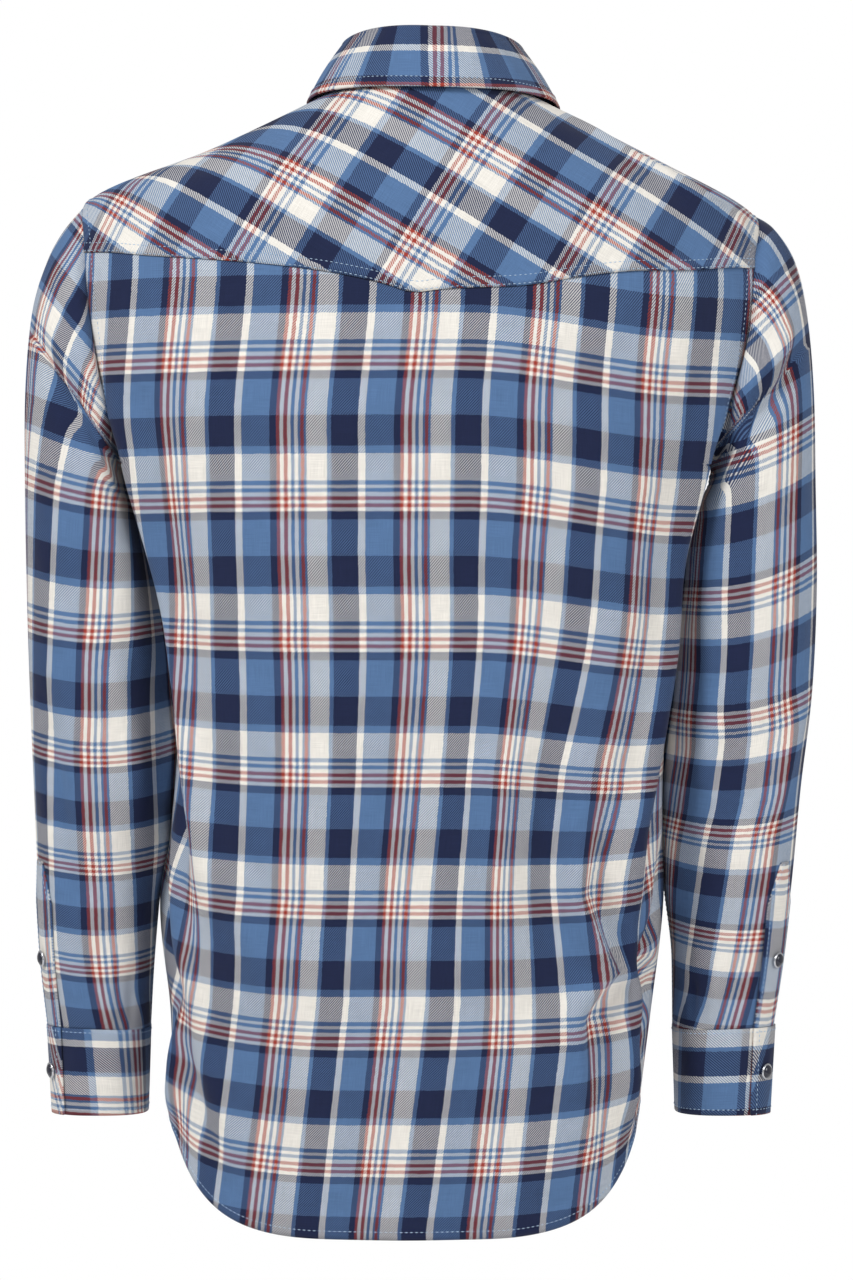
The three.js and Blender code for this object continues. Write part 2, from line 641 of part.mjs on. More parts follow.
function addSnaps() {
  const half = DOUBLE_CLOTH / 2;
  const bandFace = BAND_OUT + half;
  FRONT_SNAP_Z.forEach((z, index) => {
    let v = 0;
    while (bodyBase(2, v).z > z) v += 0.01;
    addSnap("snap_front_" + (index + 1), bodyPoint(2, v, bandFace), bodyNormal(2, v));
  });
  const neck = standPoint(2, 0.5, half);
  const rise = standPoint(2, 1).sub(standPoint(2, 0));
  addSnap("snap_collar", neck, new THREE.Vector3(0, -rise.z, rise.y).normalize());
  for (const [side, name] of [[1, "left"], [-1, "right"]]) {
    // A snap faces as its placket does, between the two grid lines beside it.
    const middle = PLACKET_FIRST[name] + PLACKET_COLUMNS / 2;
    const facing = (place, step) => {
      const across = place(middle + 0.5, 0).sub(place(middle - 0.5, 0));
      const down = place(middle, step).sub(place(middle, -step));
      return across.cross(down).normalize().multiplyScalar(-side);
    };
    const sleeveAt = (column, step) => sleevePoint(side, turnOf(column), 10 + step, bandFace);
    addSnap("snap_sleeve_" + name, sleeveAt(middle, 0), facing(sleeveAt, 0.2));
    const lap = cuffLap(PLACKET_FIRST[name] + AROUND + 1.5, PLACKET_FIRST[name]);
    const cuffAt = (column, step) => cuffPoint(side, column, 0.5 + step, lap + half);
    addSnap("snap_cuff_" + name, cuffAt(middle, 0), facing(cuffAt, 0.1));
  }
}

addBack();
addFront(1, "left");
addFront(-1, "right");
addFrontPlacket();
addSleeve(1, "left");
addSleeve(-1, "right");
addSleevePlacket(1, "left");
addSleevePlacket(-1, "right");
addCuff(1, "left");
addCuff(-1, "right");
addCollar();
addSnaps();

export default shirt;
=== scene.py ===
# Looks of the western snap shirt: plaid flannel shells on the frame's own form, with their
# folds, hems, topstitching and snaps. Tables are in millimetres and meshes in metres.
import math

import bpy
import numpy as np
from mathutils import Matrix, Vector


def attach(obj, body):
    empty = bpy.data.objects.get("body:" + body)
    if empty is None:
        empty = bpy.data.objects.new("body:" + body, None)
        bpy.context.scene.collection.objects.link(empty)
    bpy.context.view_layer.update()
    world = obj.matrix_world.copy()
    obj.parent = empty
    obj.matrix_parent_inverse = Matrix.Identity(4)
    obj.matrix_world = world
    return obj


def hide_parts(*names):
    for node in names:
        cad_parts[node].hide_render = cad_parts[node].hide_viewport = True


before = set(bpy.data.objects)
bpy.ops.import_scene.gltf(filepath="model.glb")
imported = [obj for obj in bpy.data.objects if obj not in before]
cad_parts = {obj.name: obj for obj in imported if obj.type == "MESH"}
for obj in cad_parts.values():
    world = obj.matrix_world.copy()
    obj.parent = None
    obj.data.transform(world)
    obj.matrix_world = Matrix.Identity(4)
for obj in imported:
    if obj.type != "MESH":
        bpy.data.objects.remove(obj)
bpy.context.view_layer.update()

MM = 0.001
CLOTH = 0.9  # the shell of one layer of flannel
DOUBLE_CLOTH = 1.5
SOLID_CLOTH = 1.2  # the frame's own walls, which the shells lie on
SOLID_DOUBLE = 1.8
GAP = 0.3
PLACKET_LIFT = (SOLID_CLOTH + SOLID_DOUBLE) / 2 + GAP
ROLL = 0.024  # the shoulders' tilt, height for each millimetre across
TIP, ARMPIT, HEM = 2, 6, 12  # places down the body's sections
QUARTER_GIRTH = 215  # a turn round the body, 0 at the back and 1 at the left side
ARMHOLE_BACK, ARMHOLE_FRONT = 0.28, 0.31  # how deep the armholes cut in, in turns
PLACKET_HALF = 17
OVERLAP_END = 45  # where the right front comes out from under the left one


def table(columns, rows):
    values = np.array(rows, float)
    return {name: values[:, i] for i, name in enumerate(columns.split())}


# Body sections from the neck seam to the hem, and below them a sleeve's rings from the
# shoulder to the cuff seam, as in the frame
BODY = table("backY backZ sideY sideZ frontY frontZ halfWidth midX fullness", [
    [76, 12, -5, 7, -80, -72, 70, -6, 0.56],
    [92, -28, -8, -33, -94, -96, 154, -7, 0.56],
    [104, -62, -8, -66, -106, -120, 224, 1, 0.57],
    [112, -103, -5, -100, -115, -148, 240, 3, 0.6],
    [118, -150, -2, -150, -121, -180, 240, 3, 0.62],
    [120, -205, 0, -205, -124, -218, 218, 6, 0.66],
    [119, -245, 0, -240, -124, -252, 198, 5, 0.72],
    [117, -306, 0, -304, -121, -306, 175.5, 3, 0.78],
    [113, -370, 0, -368, -117, -370, 167, 0, 0.82],
    [106, -461, -2, -458, -112, -461, 165, 3.5, 0.82],
    [98, -545, -4, -535, -110, -540, 171, 8.5, 0.72],
    [90, -640, -6, -612, -108, -630, 163, 9, 0.66],
    [80, -757, -8, -680, -104, -742, 158.5, 12.5, 0.64],
])
SLEEVE = table("outerX outerZ innerX innerZ halfDepth midY drift", [
    [230, -66, 197, -240, 60, -3, 3],
    [240, -81, 201, -247, 65, -3, 3],
    [253, -103, 200, -256, 67, -4, 2],
    [262, -137, 195, -269, 68, -5, 3],
    [267, -190, 187, -293, 67, -6, 3],
    [268, -255, 178.5, -330, 65, -7, 2.5],
    [268, -325, 172, -375, 62, -8, 1.5],
    [265.5, -395, 168, -425, 59, -9, 2],
    [260.5, -460, 170, -478, 56, -11, 4.5],
    [256.5, -520, 174.5, -530, 52, -13, 6],
    [252, -575, 177.5, -580, 48, -16, 7.5],
    [246, -622, 179, -624, 42, -18, 8.5],
])
LAST_RING = 11
SLEEVE_SQUARE = 0.76  # a sleeve's section is squarer than an oval


def power(value, exponent):
    return np.sign(value) * np.abs(value) ** exponent


SLEEVE_QUARTER = 95
CUFF = {"outerX": 243, "innerX": 181, "z": -682, "halfDepth": 38, "midY": -22}
# A fold runs straight from place A to place B. One that laps has a trough beside its ridge.
FOLD = "turnA zA turnB zB width height lap"
BODY_FOLDS = table(FOLD, [
    [0.95, -470, 0.74, -640, 14, -8, 0],
    [0.72, -590, 0.9, -700, 13, 8, 0],
    [-0.62, -540, -0.82, -700, 15, 10, 1],
    [-0.9, -480, -0.72, -650, 12, -8, 0],
    [0.2, -520, 0.16, -740, 26, 4, 0],
    [-0.22, -500, -0.28, -730, 24, -4, 0],
    [-0.55, -50, -0.78, -95, 12, 4, 0],
    [1.25, -230, 1.5, -520, 24, 7, 1],
    [-1.25, -230, -1.45, -560, 22, 7, 1],
    [1.1, -500, 1.35, -700, 18, -6, 0],
    [-1.15, -480, -1.3, -690, 18, 6, 0],
])
# The back hangs in a long drape at either side, from the armhole in towards the waist
DRAPE = table("z leftTurn leftLift rightTurn rightLift", [
    [-150, 0.66, 0, 0.66, 0],
    [-200, 0.7, 6, 0.7, 6],
    [-250, 0.75, 12, 0.74, 11],
    [-300, 0.77, 13, 0.75, 11],
    [-365, 0.74, 12, 0.73, 11],
    [-415, 0.68, 11, 0.68, 10],
    [-450, 0.63, 10, 0.64, 9],
    [-490, 0.56, 9, 0.58, 9],
    [-560, 0.5, 0, 0.55, 0],
])
DRAPE_WIDTH, DRAPE_TROUGH, DRAPE_DEPTH = 15, 30, 0.8
LEFT_FOLDS = table(FOLD, [
    [0.5, -145, 1.5, -242, 9, -4.5, 1],
    [3.5, -145, 2.5, -242, 9, 4.5, 1],
    [0.9, -330, 1.5, -500, 14, 5, 0],
    [1.9, -390, 1.9, -540, 30, 4, 0],
    [0.5, -380, 0.9, -560, 12, -5, 0],
    [3.4, -360, 2.7, -430, 12, 6, 0],
    [3.3, -420, 2.5, -470, 11, -5, 0],
    [1.1, -570, 1.15, -640, 7, 4, 0],
    [1.4, -580, 1.42, -640, 7, -3, 0],
])
RIGHT_FOLDS = table(FOLD, [
    [0.45, -145, 1.5, -240, 9, -5.5, 1],
    [3.55, -145, 2.5, -240, 9, 5.5, 1],
    [1.85, -185, 1.85, -335, 32, 5, 0],
    [1.9, -400, 1.9, -580, 30, 5, 0],
    [1.0, -320, 1.4, -490, 14, 4, 0],
    [0.4, -380, 0.8, -500, 13, 5, 0],
    [3.5, -370, 2.7, -420, 12, 6, 0],
    [3.2, -430, 2.6, -490, 11, -5, 0],
    [1.1, -570, 1.15, -640, 7, 4, 0],
    [1.4, -580, 1.42, -640, 7, -3, 0],
])
# Creases laid along a line of places (turn, z, height): width in millimetres, and
# whether the crease laps over, as a ridge with a trough beside it. The last six are hidden.
CREASES = [
    (9, 1, [(-0.4, -460, 0), (-0.4, -530, 8), (-0.55, -580, 9), (-0.45, -610, 8),
            (-0.5, -660, 3), (-0.55, -710, 0)]),
    (10, 0, [(-0.65, -480, 0), (-0.6, -530, 5), (-0.6, -580, 5), (-0.7, -630, 0)]),
    (12, 0, [(0.45, -500, 0), (0.4, -540, 4), (0.35, -570, 4), (0.35, -620, 0)]),
    (13, 0, [(0.8, -550, 0), (0.65, -580, 4), (0.6, -640, 5), (0.45, -720, 0)]),
    (10, 0, [(0.85, -610, 0), (0.7, -650, -4), (0.6, -690, -4), (0.5, -730, 0)]),
    (22, 0, [(0.15, -360, 0), (0.2, -460, 2.5), (0.2, -560, 3), (0.25, -740, 2)]),
    (12, 0, [(-0.15, -360, 0), (-0.15, -450, 8), (-0.15, -510, 8), (-0.25, -600, 0)]),
    (13, 0, [(-0.3, -370, 0), (-0.25, -480, -6), (-0.3, -520, -7), (-0.4, -600, 0)]),
    (8, 0, [(0.6, -130, 0), (0.65, -210, 2), (0.7, -280, 0)]),
    (8, 0, [(-0.65, -130, 0), (-0.65, -200, 2.5), (-0.7, -280, 0)]),
    (10, 0, [(-0.7, -5, 0), (-0.6, -25, 4), (-0.6, -50, 4), (-0.65, -80, 0)]),
    (8, 0, [(-0.8, -20, 0), (-0.7, -45, -3), (-0.7, -85, 0)]),
    (14, 0, [(0.5, -305, 0), (0.55, -380, 2.5), (0.45, -465, 0)]),
    (20, 0, [(-0.05, -530, 0), (-0.05, -600, 2.5), (0, -750, 2)]),
    (18, 0, [(-0.25, -600, 0), (-0.25, -660, 3), (-0.25, -745, 2)]),
    (14, 0, [(1.3, -300, 0), (1.38, -380, 4), (1.42, -470, 4), (1.36, -560, 0)]),
    (12, 0, [(1.55, -420, 0), (1.5, -520, -3.5), (1.58, -640, 0)]),
    (14, 0, [(-1.3, -320, 0), (-1.42, -400, 4), (-1.38, -500, 4), (-1.46, -600, 0)]),
    (12, 0, [(-1.6, -460, 0), (-1.52, -560, 3.5), (-1.6, -660, 0)]),
    (9, 0, [(1.2, -120, 0), (1.3, -190, 3), (1.28, -260, 3), (1.2, -320, 0)]),
    (9, 0, [(-1.22, -130, 0), (-1.32, -200, 3), (-1.3, -270, 3), (-1.2, -330, 0)]),
]
STAND = {"narrowX": 0.81, "narrowY": 0.87, "back": 32, "side": 34, "front": 29, "gap": 1}
LEAF = table("turn edgeTurn section clearance", [
    [0, 0, 0.28, 5],
    [0.6, 0.6, 0.27, 4],
    [1, 1, 0.23, 3.5],
    [1.35, 1.36, 0.36, 4],
    [1.7, 1.63, 0.8, 4],
    [1.96, 1.8, 1.25, 4],
])
LEAF_ROLL = {"out": 4.8, "up": 3.4, "down": 2.6}
LEAF_BULGE = 1.6
LEAF_CHECK = (14.8, 3.3)  # where the check starts, down and round
FRONT_SNAP_Z = [-128, -216, -304, -392, -480, -568]

# The check: bands of one repeat as yarn and share of width, across the cloth and down it
YARN = {
    "navy": (0.013, 0.020, 0.062),
    "blue": (0.098, 0.188, 0.365),
    "cream": (0.87, 0.835, 0.77),
    "red": (0.37, 0.05, 0.035),
}
WARP = [
    ("cream", 19), ("blue", 4), ("navy", 25), ("cream", 6.5), ("blue", 27),
    ("navy", 6), ("red", 3.5), ("cream", 3.5), ("red", 3.5), ("cream", 3.5),
    ("blue", 3), ("cream", 3.5), ("blue", 2.5), ("red", 3), ("blue", 2.5),
]
WEFT = [
    ("red", 3.5), ("cream", 3.5), ("red", 3.5), ("cream", 4), ("navy", 8.5),
    ("blue", 36), ("navy", 30.5), ("blue", 8), ("cream", 27), ("blue", 4),
    ("cream", 3.5), ("blue", 4), ("cream", 4.5),
]
WARP_REPEAT = 80.0
WEFT_REPEAT = 92.0
TWILL_ACROSS = 1.75
TWILL_DOWN = 2.05


def smooth(t):
    s = np.clip(t, 0, 1)
    return s * s * (3 - 2 * s)


def lerp(a, b, t):
    return a + (b - a) * t


def at_height(rows, column, z):
    """A column of a table at some heights. The table's heights run from the top down."""
    return np.interp(-z, -rows["z"], rows[column])


def spline(values, at):
    """A smooth curve through a table's values, at places counted in rows."""
    at = np.asarray(at, float)
    last = len(values) - 1
    i = np.clip(np.floor(at), 0, last - 1).astype(int)
    t = at - i
    t = t.reshape(t.shape + (1,) * (values.ndim - 1))
    a, b = values[np.clip(i - 1, 0, last)], values[i]
    c, d = values[i + 1], values[np.clip(i + 2, 0, last)]
    return b + 0.5 * t * (c - a + t * (2 * a - 5 * b + 4 * c - d + t * (3 * (b - c) + d - a)))


def fold_lift(folds, quarter, turn, z):
    """How far straight folds lift the cloth, in millimetres."""
    lift = np.zeros(np.broadcast(turn, z).shape)
    for ta, za, tb, zb, width, height, lap in zip(*(folds[k] for k in FOLD.split())):
        whole = 4 * np.round((turn - (ta + tb) / 2) / 4)
        x = (turn - whole - ta) * quarter
        run_x, run_z = (tb - ta) * quarter, zb - za
        length = math.hypot(run_x, run_z)
        t = (x * run_x + (z - za) * run_z) / length**2
        across = (x * run_z - (z - za) * run_x) / length / width
        side = across * np.sign(ta) if lap else 1
        bell = np.exp((0.5 if lap else 0) - across**2 * (0.5 if lap else 1))
        lift += height * side * bell * smooth(t * 3) * smooth((1 - t) * 3)
    return lift


def crease_lift(turn, z):
    """How far bent creases lift the cloth, by the distance from their nearest stretch."""
    lift = np.zeros(np.broadcast(turn, z).shape)
    for width, lap, line in CREASES:
        places = np.array(line, float)
        nearest = np.full(lift.shape, np.inf)
        height, off = np.zeros(lift.shape), np.zeros(lift.shape)
        for (ta, za, ha), (tb, zb, hb) in zip(places[:-1], places[1:]):
            run_x, run_z = (tb - ta) * QUARTER_GIRTH, zb - za
            dx, dz = (turn - ta) * QUARTER_GIRTH, z - za
            t = np.clip((dx * run_x + dz * run_z) / (run_x**2 + run_z**2), 0, 1)
            away = np.hypot(dx - t * run_x, dz - t * run_z)
            closer = away < nearest
            nearest = np.where(closer, away, nearest)
            height = np.where(closer, lerp(ha, hb, t), height)
            side = np.sign(dx * run_z - dz * run_x) * np.sign(ta + 1e-9)
            off = np.where(closer, away * side, off)
        if lap:
            across = off / width
            lift += height * across * np.exp(0.5 - across**2 / 2)
        else:
            lift += height * np.exp(-((nearest / width) ** 2))
    return lift


def drape(turn, z, what):
    """The drapes' Turn or Lift on the side and at the height of each point."""
    at = np.interp(-z, -DRAPE["z"], np.arange(len(DRAPE["z"])))
    return np.where(turn > 0, spline(DRAPE["left" + what], at), spline(DRAPE["right" + what], at))


def drape_lift(turn, z):
    off = (np.abs(turn) - drape(turn, z, "Turn")) * QUARTER_GIRTH
    trough = np.exp(-(((off - DRAPE_TROUGH) / DRAPE_WIDTH) ** 2))
    return drape(turn, z, "Lift") * (np.exp(-((off / DRAPE_WIDTH) ** 2)) - DRAPE_DEPTH * trough)


def across_at(u, k):
    """A section's share of its half width at a share of a quarter turn, by its fullness."""
    return 3 * (1 - u) ** 2 * u * k + 3 * (1 - u) * u * u + u**3


def unwrap(turn):
    return turn - 4 * np.round(turn / 4)


def body_base(any_turn, v):
    """Points on the body before its folds, for turns round it and places down its sections."""
    turn = unwrap(np.asarray(any_turn, float))
    v = np.asarray(v, float) + 0 * turn
    side = np.where(turn < 0, -1, 1)
    front = np.abs(turn) > 1
    u = np.where(front, 2 - np.abs(turn), np.abs(turn))
    row = {name: spline(BODY[name], v) for name in BODY}
    k = row["fullness"]
    deep = (1 - u) ** 3 + 3 * (1 - u) ** 2 * u + 3 * (1 - u) * u * u * k
    x = row["midX"] + side * row["halfWidth"] * across_at(u, k)
    y = lerp(row["sideY"], np.where(front, row["frontY"], row["backY"]), deep)
    curve = lerp(1.5, 2.0, smooth((v - 6) / 6))
    level = lerp(np.where(front, row["frontZ"], row["backZ"]), row["sideZ"], smooth(u**curve))
    z = level + ROLL * x * (1 - smooth((v - 4) / 3))
    return np.stack([x, y, z], -1)


def unit(a):
    return a / np.maximum(np.linalg.norm(a, axis=-1, keepdims=True), 1e-9)


TURN_STEP, DOWN_STEP = 0.02, 0.05  # steps over which a surface's slope is taken


def body_normal(turn, any_v):
    v = np.clip(any_v, DOWN_STEP, HEM - DOWN_STEP)
    across = body_base(turn + TURN_STEP, v) - body_base(turn - TURN_STEP, v)
    down = body_base(turn, v + DOWN_STEP) - body_base(turn, v - DOWN_STEP)
    return unit(np.cross(across, down))


def body_point(turn, v, out=0.0):
    """Points on the folded body, moved out from it by some millimetres."""
    point = body_base(turn, v)
    turn_in = unwrap(np.asarray(turn, float))
    z = point[..., 2]
    lift = (fold_lift(BODY_FOLDS, QUARTER_GIRTH, turn_in, z) + drape_lift(turn_in, z)
            + crease_lift(turn_in, z))
    return point + body_normal(turn, v) * (lift + out)[..., None]


HALVINGS = 24


def turns_to(distance, v):
    """The turns from the middle that reach a distance across, found by halving."""
    wanted = np.abs(distance) / spline(BODY["halfWidth"], v)
    k = spline(BODY["fullness"], v)
    low, high = np.zeros_like(wanted), np.ones_like(wanted)
    for _ in range(HALVINGS):
        middle = (low + high) / 2
        less = across_at(middle, k) < wanted
        low, high = np.where(less, middle, low), np.where(less, high, middle)
    return np.sign(distance) * low


def armhole_reach(depth, v):
    """The turn at which a body panel ends, where an armhole cuts into it or at its side."""
    return 1 - depth * np.sqrt(np.maximum(1 - ((v - 4) / 2) ** 2, 0))


BACK_YOKE_LEVEL = 4 - 2 * math.cos(math.pi * 5 / 14)
FRONT_YOKE_LEVEL = 4.0
YOKE_REACH = 0.72
YOKE_ENDS = 0.5  # from here out the edge comes back to its level
YOKE_POINT = {"turn": 0.012, "deep": 0.35, "wide": 0.12}
YOKE_SLANT = 0.19


def back_yoke_edge(turn):
    """The back yoke's point lies a little left of the middle, and its right half sags."""
    free = 1 - smooth((np.abs(turn) - YOKE_ENDS) / (YOKE_REACH - YOKE_ENDS))
    u = np.abs(turn - YOKE_POINT["turn"])
    straight = YOKE_SLANT * np.maximum(1 - u / YOKE_REACH, 0)
    point = YOKE_POINT["deep"] * np.exp(-u / YOKE_POINT["wide"])
    drop = 0.28 * smooth((0.05 - turn) / 0.25) - 0.25 * smooth(-turn / 0.4)
    return BACK_YOKE_LEVEL + (straight + point + drop) * free


def front_yoke_edge(u):
    """The front yokes dip to a point half way out and rise to the placket."""
    dip = 0.3 * np.exp(-np.abs(u - 0.42) / 0.16)
    lift = 0.95 * (1 - smooth(np.maximum(u, 0) / 0.4))
    return FRONT_YOKE_LEVEL + np.where(u < 0.68, (dip - lift) * smooth((0.68 - u) / 0.12), 0)


def bent(level, straight, edge):
    """Levels of a grid, stretched so that its straight seam level lies on a bent edge."""
    above = level * edge / straight
    below = edge + (level - straight) * (HEM - edge) / (HEM - straight)
    return np.where(level <= straight, above, below)


def make_object(name, verts, faces, material, uvs=None):
    """A piece that rides on the root, from places in millimetres."""
    mesh = bpy.data.meshes.new(name)
    mesh.from_pydata((verts * MM).tolist(), [], faces)
    if uvs is not None:
        layer = mesh.uv_layers.new(name="Cloth")
        index = np.empty(len(mesh.loops), int)
        mesh.loops.foreach_get("vertex_index", index)
        layer.data.foreach_set("uv", (uvs * MM)[index].ravel())
    for polygon in mesh.polygons:
        polygon.use_smooth = True
    mesh.materials.append(material)
    piece = bpy.data.objects.new(name, mesh)
    bpy.context.collection.objects.link(piece)
    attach(piece, "root")
    return piece


def sheet_object(name, points, uv, thickness=CLOTH, flip=False):
    """A shell for a node, from a grid of points (down, across, 3) and its flat coordinates."""
    down, across = points.shape[:2]
    faces = []
    for j in range(down - 1):
        for i in range(across - 1):
            a, b = j * across + i, j * across + i + 1
            c, d = a + across, b + across
            faces.append((a, c, d, b) if flip else (a, b, d, c))
    piece = make_object("cloth_" + name, points.reshape(-1, 3), faces, FLANNEL,
                        uv.reshape(-1, 2))
    shell = piece.modifiers.new("shell", "SOLIDIFY")
    shell.thickness = thickness * MM
    shell.offset = 0
    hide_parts(name)
    return piece


STITCH_PITCH, STITCH_LONG, STITCH_WIDE, STITCH_HIGH = 3.4, 2.5, 0.72, 0.34
STITCH_CLEAR = 0.12
# Each border's axis in a panel's grid, and whether it is the last row or column
BORDERS = {"bottom": (0, True), "top": (0, False), "left": (1, False), "right": (1, True)}


def border_row(points, flip, border, distance, rise, keep):
    """The line inside a border of a panel: its places and normals. A side may keep some rows."""
    across, down = np.gradient(points, axis=1), np.gradient(points, axis=0)
    normals = unit(np.cross(across, down)) * (-1 if flip else 1)
    axis, last_first = BORDERS[border]
    both = np.concatenate([points, normals], -1)
    if axis == 1:
        both = both.transpose(1, 0, 2)
    else:
        keep = None
    if last_first:
        both = both[::-1]
    run = run_length(both[..., :3], 0)
    row = []
    for column in range(both.shape[1]):
        if keep is not None and not keep[column]:
            continue
        if run[-1, column] <= distance:
            continue
        row.append([np.interp(distance, run[:, column], both[:, column, i]) for i in range(6)])
    row = np.array(row)
    return row[:, :3] + row[:, 3:] * rise, row[:, 3:]


def sew(panel, points, borders, thickness=CLOTH, flip=False, keep=None):
    """Topstitches in rows along borders of a panel, one bead for each stitch."""
    rows = [border_row(points, flip, border, distance, thickness / 2 + STITCH_CLEAR, keep)
            for border, distance in borders]
    verts, faces = [], []
    for places, normals in rows:
        run = np.concatenate([[0], np.cumsum(np.linalg.norm(np.diff(places, axis=0), axis=1))])
        for middle in np.arange(STITCH_PITCH / 2, run[-1], STITCH_PITCH):
            ends = [np.array([np.interp(middle + step, run, places[:, i]) for i in range(3)])
                    for step in (-STITCH_LONG / 2, STITCH_LONG / 2)]
            up = unit(np.array([np.interp(middle, run, normals[:, i]) for i in range(3)]))
            centre = (ends[0] + ends[1]) / 2
            side = unit(np.cross(ends[1] - ends[0], up)) * STITCH_WIDE / 2
            first = len(verts)
            verts += [ends[0], centre + side, ends[1], centre - side,
                      centre + up * STITCH_HIGH, centre - up * STITCH_HIGH]
            for i in range(4):
                a, b = first + i, first + (i + 1) % 4
                faces += [(b, a, first + 4), (a, b, first + 5)]
    name = panel.name.replace("cloth_", "")
    sewn = make_object("stitches_" + name, np.array(verts), faces, THREAD)
    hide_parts(name)


def by_armhole(level):
    return (level > TIP) & (level < ARMPIT)


def run_length(points, axis):
    """Millimetres along each row or column of a grid from its first place."""
    step = np.linalg.norm(np.diff(points, axis=axis), axis=-1)
    zero = np.zeros_like(np.take(step, [0], axis=axis))
    return np.concatenate([zero, np.cumsum(step, axis=axis)], axis=axis)


def girth_from(points, column):
    """Millimetres round each row of a grid from one of its columns."""
    run = run_length(points, 1)
    return run - run[:, column:column + 1]


# Where the check's crosswise bands lie down the back, and how its lengthwise ones lean
CHECK = table("z down", [[200, -373], [-400, 227], [-620, 460], [-790, 645]])
LEAN = table("z lean", [[-120, 0], [-360, 10], [-600, 18], [-750, 34]])
CREAM_STRIPE = 33.4  # near the narrow cream stripe, across the cloth
RED_PAIR = 3.5  # the middle of the two red bands, down the cloth
BUNDLE_RISE = 1.6
STRIPE_X = 32.0  # the place of that cream stripe across the back
LEFT_EASE = 0.965
# The crosswise bands rise towards the body's sides, more so lower down.
SIDE_RISE, SIDE_RISE_TOP, SIDE_RISE_OVER, SIDE_RISE_GIRTH = 25, -300, 400, 190
# The drapes hide a tuck of cloth, so that the check jumps a little past their ridges
TUCK = table("z left right", [[-250, 0, 0], [-330, 4, 4], [-420, 9, 7], [-480, 15, 9],
                              [-540, 12, 9], [-600, 4, 5], [-660, 0, 0]])
TUCK_OVER = 26
# The lower back's folds take up cloth, so that its lengthwise stripes sway in towards the
# middle by so many millimetres at the sides, and less near the middle.
SWAY = table("z left right", [[-260, 0, 0], [-360, 2, 9], [-450, 10, 18], [-530, 15, 17],
                              [-630, 11, 6], [-750, 13, 4]])
SWAY_WIDTH = 95
SINK = 15
SINK_FROM, SINK_OVER = 30, 150  # round the back, from the middle
SINK_TOP, SINK_STARTS, SINK_END, SINK_FADES = -90, 60, -400, 150


def check_down(z, girth):
    """The place down the check at a height, for millimetres round from the middle."""
    outer = np.clip(np.abs(girth) / SIDE_RISE_GIRTH, 0, 1.2) ** 4
    rise = SIDE_RISE * np.clip((SIDE_RISE_TOP - z) / SIDE_RISE_OVER, 0, 1) * outer
    held = smooth((SINK_TOP - z) / SINK_STARTS) * (1 - smooth((SINK_END - z) / SINK_FADES))
    sink = SINK * smooth((-girth - SINK_FROM) / SINK_OVER) * held
    return at_height(CHECK, "down", z - rise + sink) - BUNDLE_RISE


def on_side(rows, left, z):
    """A table's left or right column at some heights."""
    return np.where(left, at_height(rows, "left", z), at_height(rows, "right", z))


def sway(x, z):
    """How far the stripes sway at a place on the back."""
    return on_side(SWAY, x > 0, z) * smooth(np.abs(x) / SWAY_WIDTH) * np.sign(x)


def tuck_past(turn, z):
    past = smooth(((np.abs(turn) - drape(turn, z, "Turn")) * QUARTER_GIRTH + 2) / TUCK_OVER)
    return on_side(TUCK, turn > 0, z) * past * np.sign(turn)


def body_uv(points, middle, turn):
    """Flat coordinates on the back: round it from a column, and down it."""
    girth = girth_from(points, middle)
    z = points[..., 2]
    across = (girth + tuck_past(turn, z)) * np.where(turn > 0, LEFT_EASE, 1.0)
    straight = STRIPE_X + at_height(LEAN, "lean", z) - across
    return np.stack([straight + CREAM_STRIPE - sway(points[..., 0], z), check_down(z, girth)], -1)


def levels(first, last, step):
    """Rows down the body, with one at each armhole's ends."""
    marks = [m for m in (first, TIP, ARMPIT, last) if first <= m <= last]
    parts = []
    for a, b in zip(marks[:-1], marks[1:]):
        count = max(int(math.ceil((b - a) / step)), 1)
        parts.append(np.linspace(a, b, count + 1)[:-1])
    return np.concatenate(parts + [[last]])


def side_shares(count):
    """Columns across the back, closer together at its sides."""
    even = np.linspace(-1, 1, count)
    return np.sign(even) * np.abs(even) ** 0.85


def node(tree, kind, inputs=None, **settings):
    made = tree.nodes.new("ShaderNode" + kind)
    for name, value in settings.items():
        setattr(made, name, value)
    for key, value in (inputs or {}).items():
        socket = made.inputs[key]
        if isinstance(value, bpy.types.NodeSocket):
            tree.links.new(value, socket)
        else:
            socket.default_value = value
    return made


def math_node(tree, operation, a, b=0.0, c=0.0):
    return node(tree, "Math", {0: a, 1: b, 2: c}, operation=operation).outputs[0]


def noise(tree, where, scale, detail):
    return node(tree, "TexNoise", {"Vector": where, "Scale": scale, "Detail": detail}).outputs[0]


def band_ramp(tree, bands, position):
    """The colour of a repeat's band at a position from 0 to 1."""
    ramp = node(tree, "ValToRGB", {0: position})
    ramp.color_ramp.interpolation = "CONSTANT"
    total = sum(width for _, width in bands)
    elements = ramp.color_ramp.elements
    while len(elements) > 1:
        elements.remove(elements[-1])
    start = 0.0
    for index, (yarn, width) in enumerate(bands):
        element = elements.new(start / total) if index else elements[0]
        element.position = start / total
        element.color = (*YARN[yarn], 1)
        start += width
    return ramp.outputs[0]


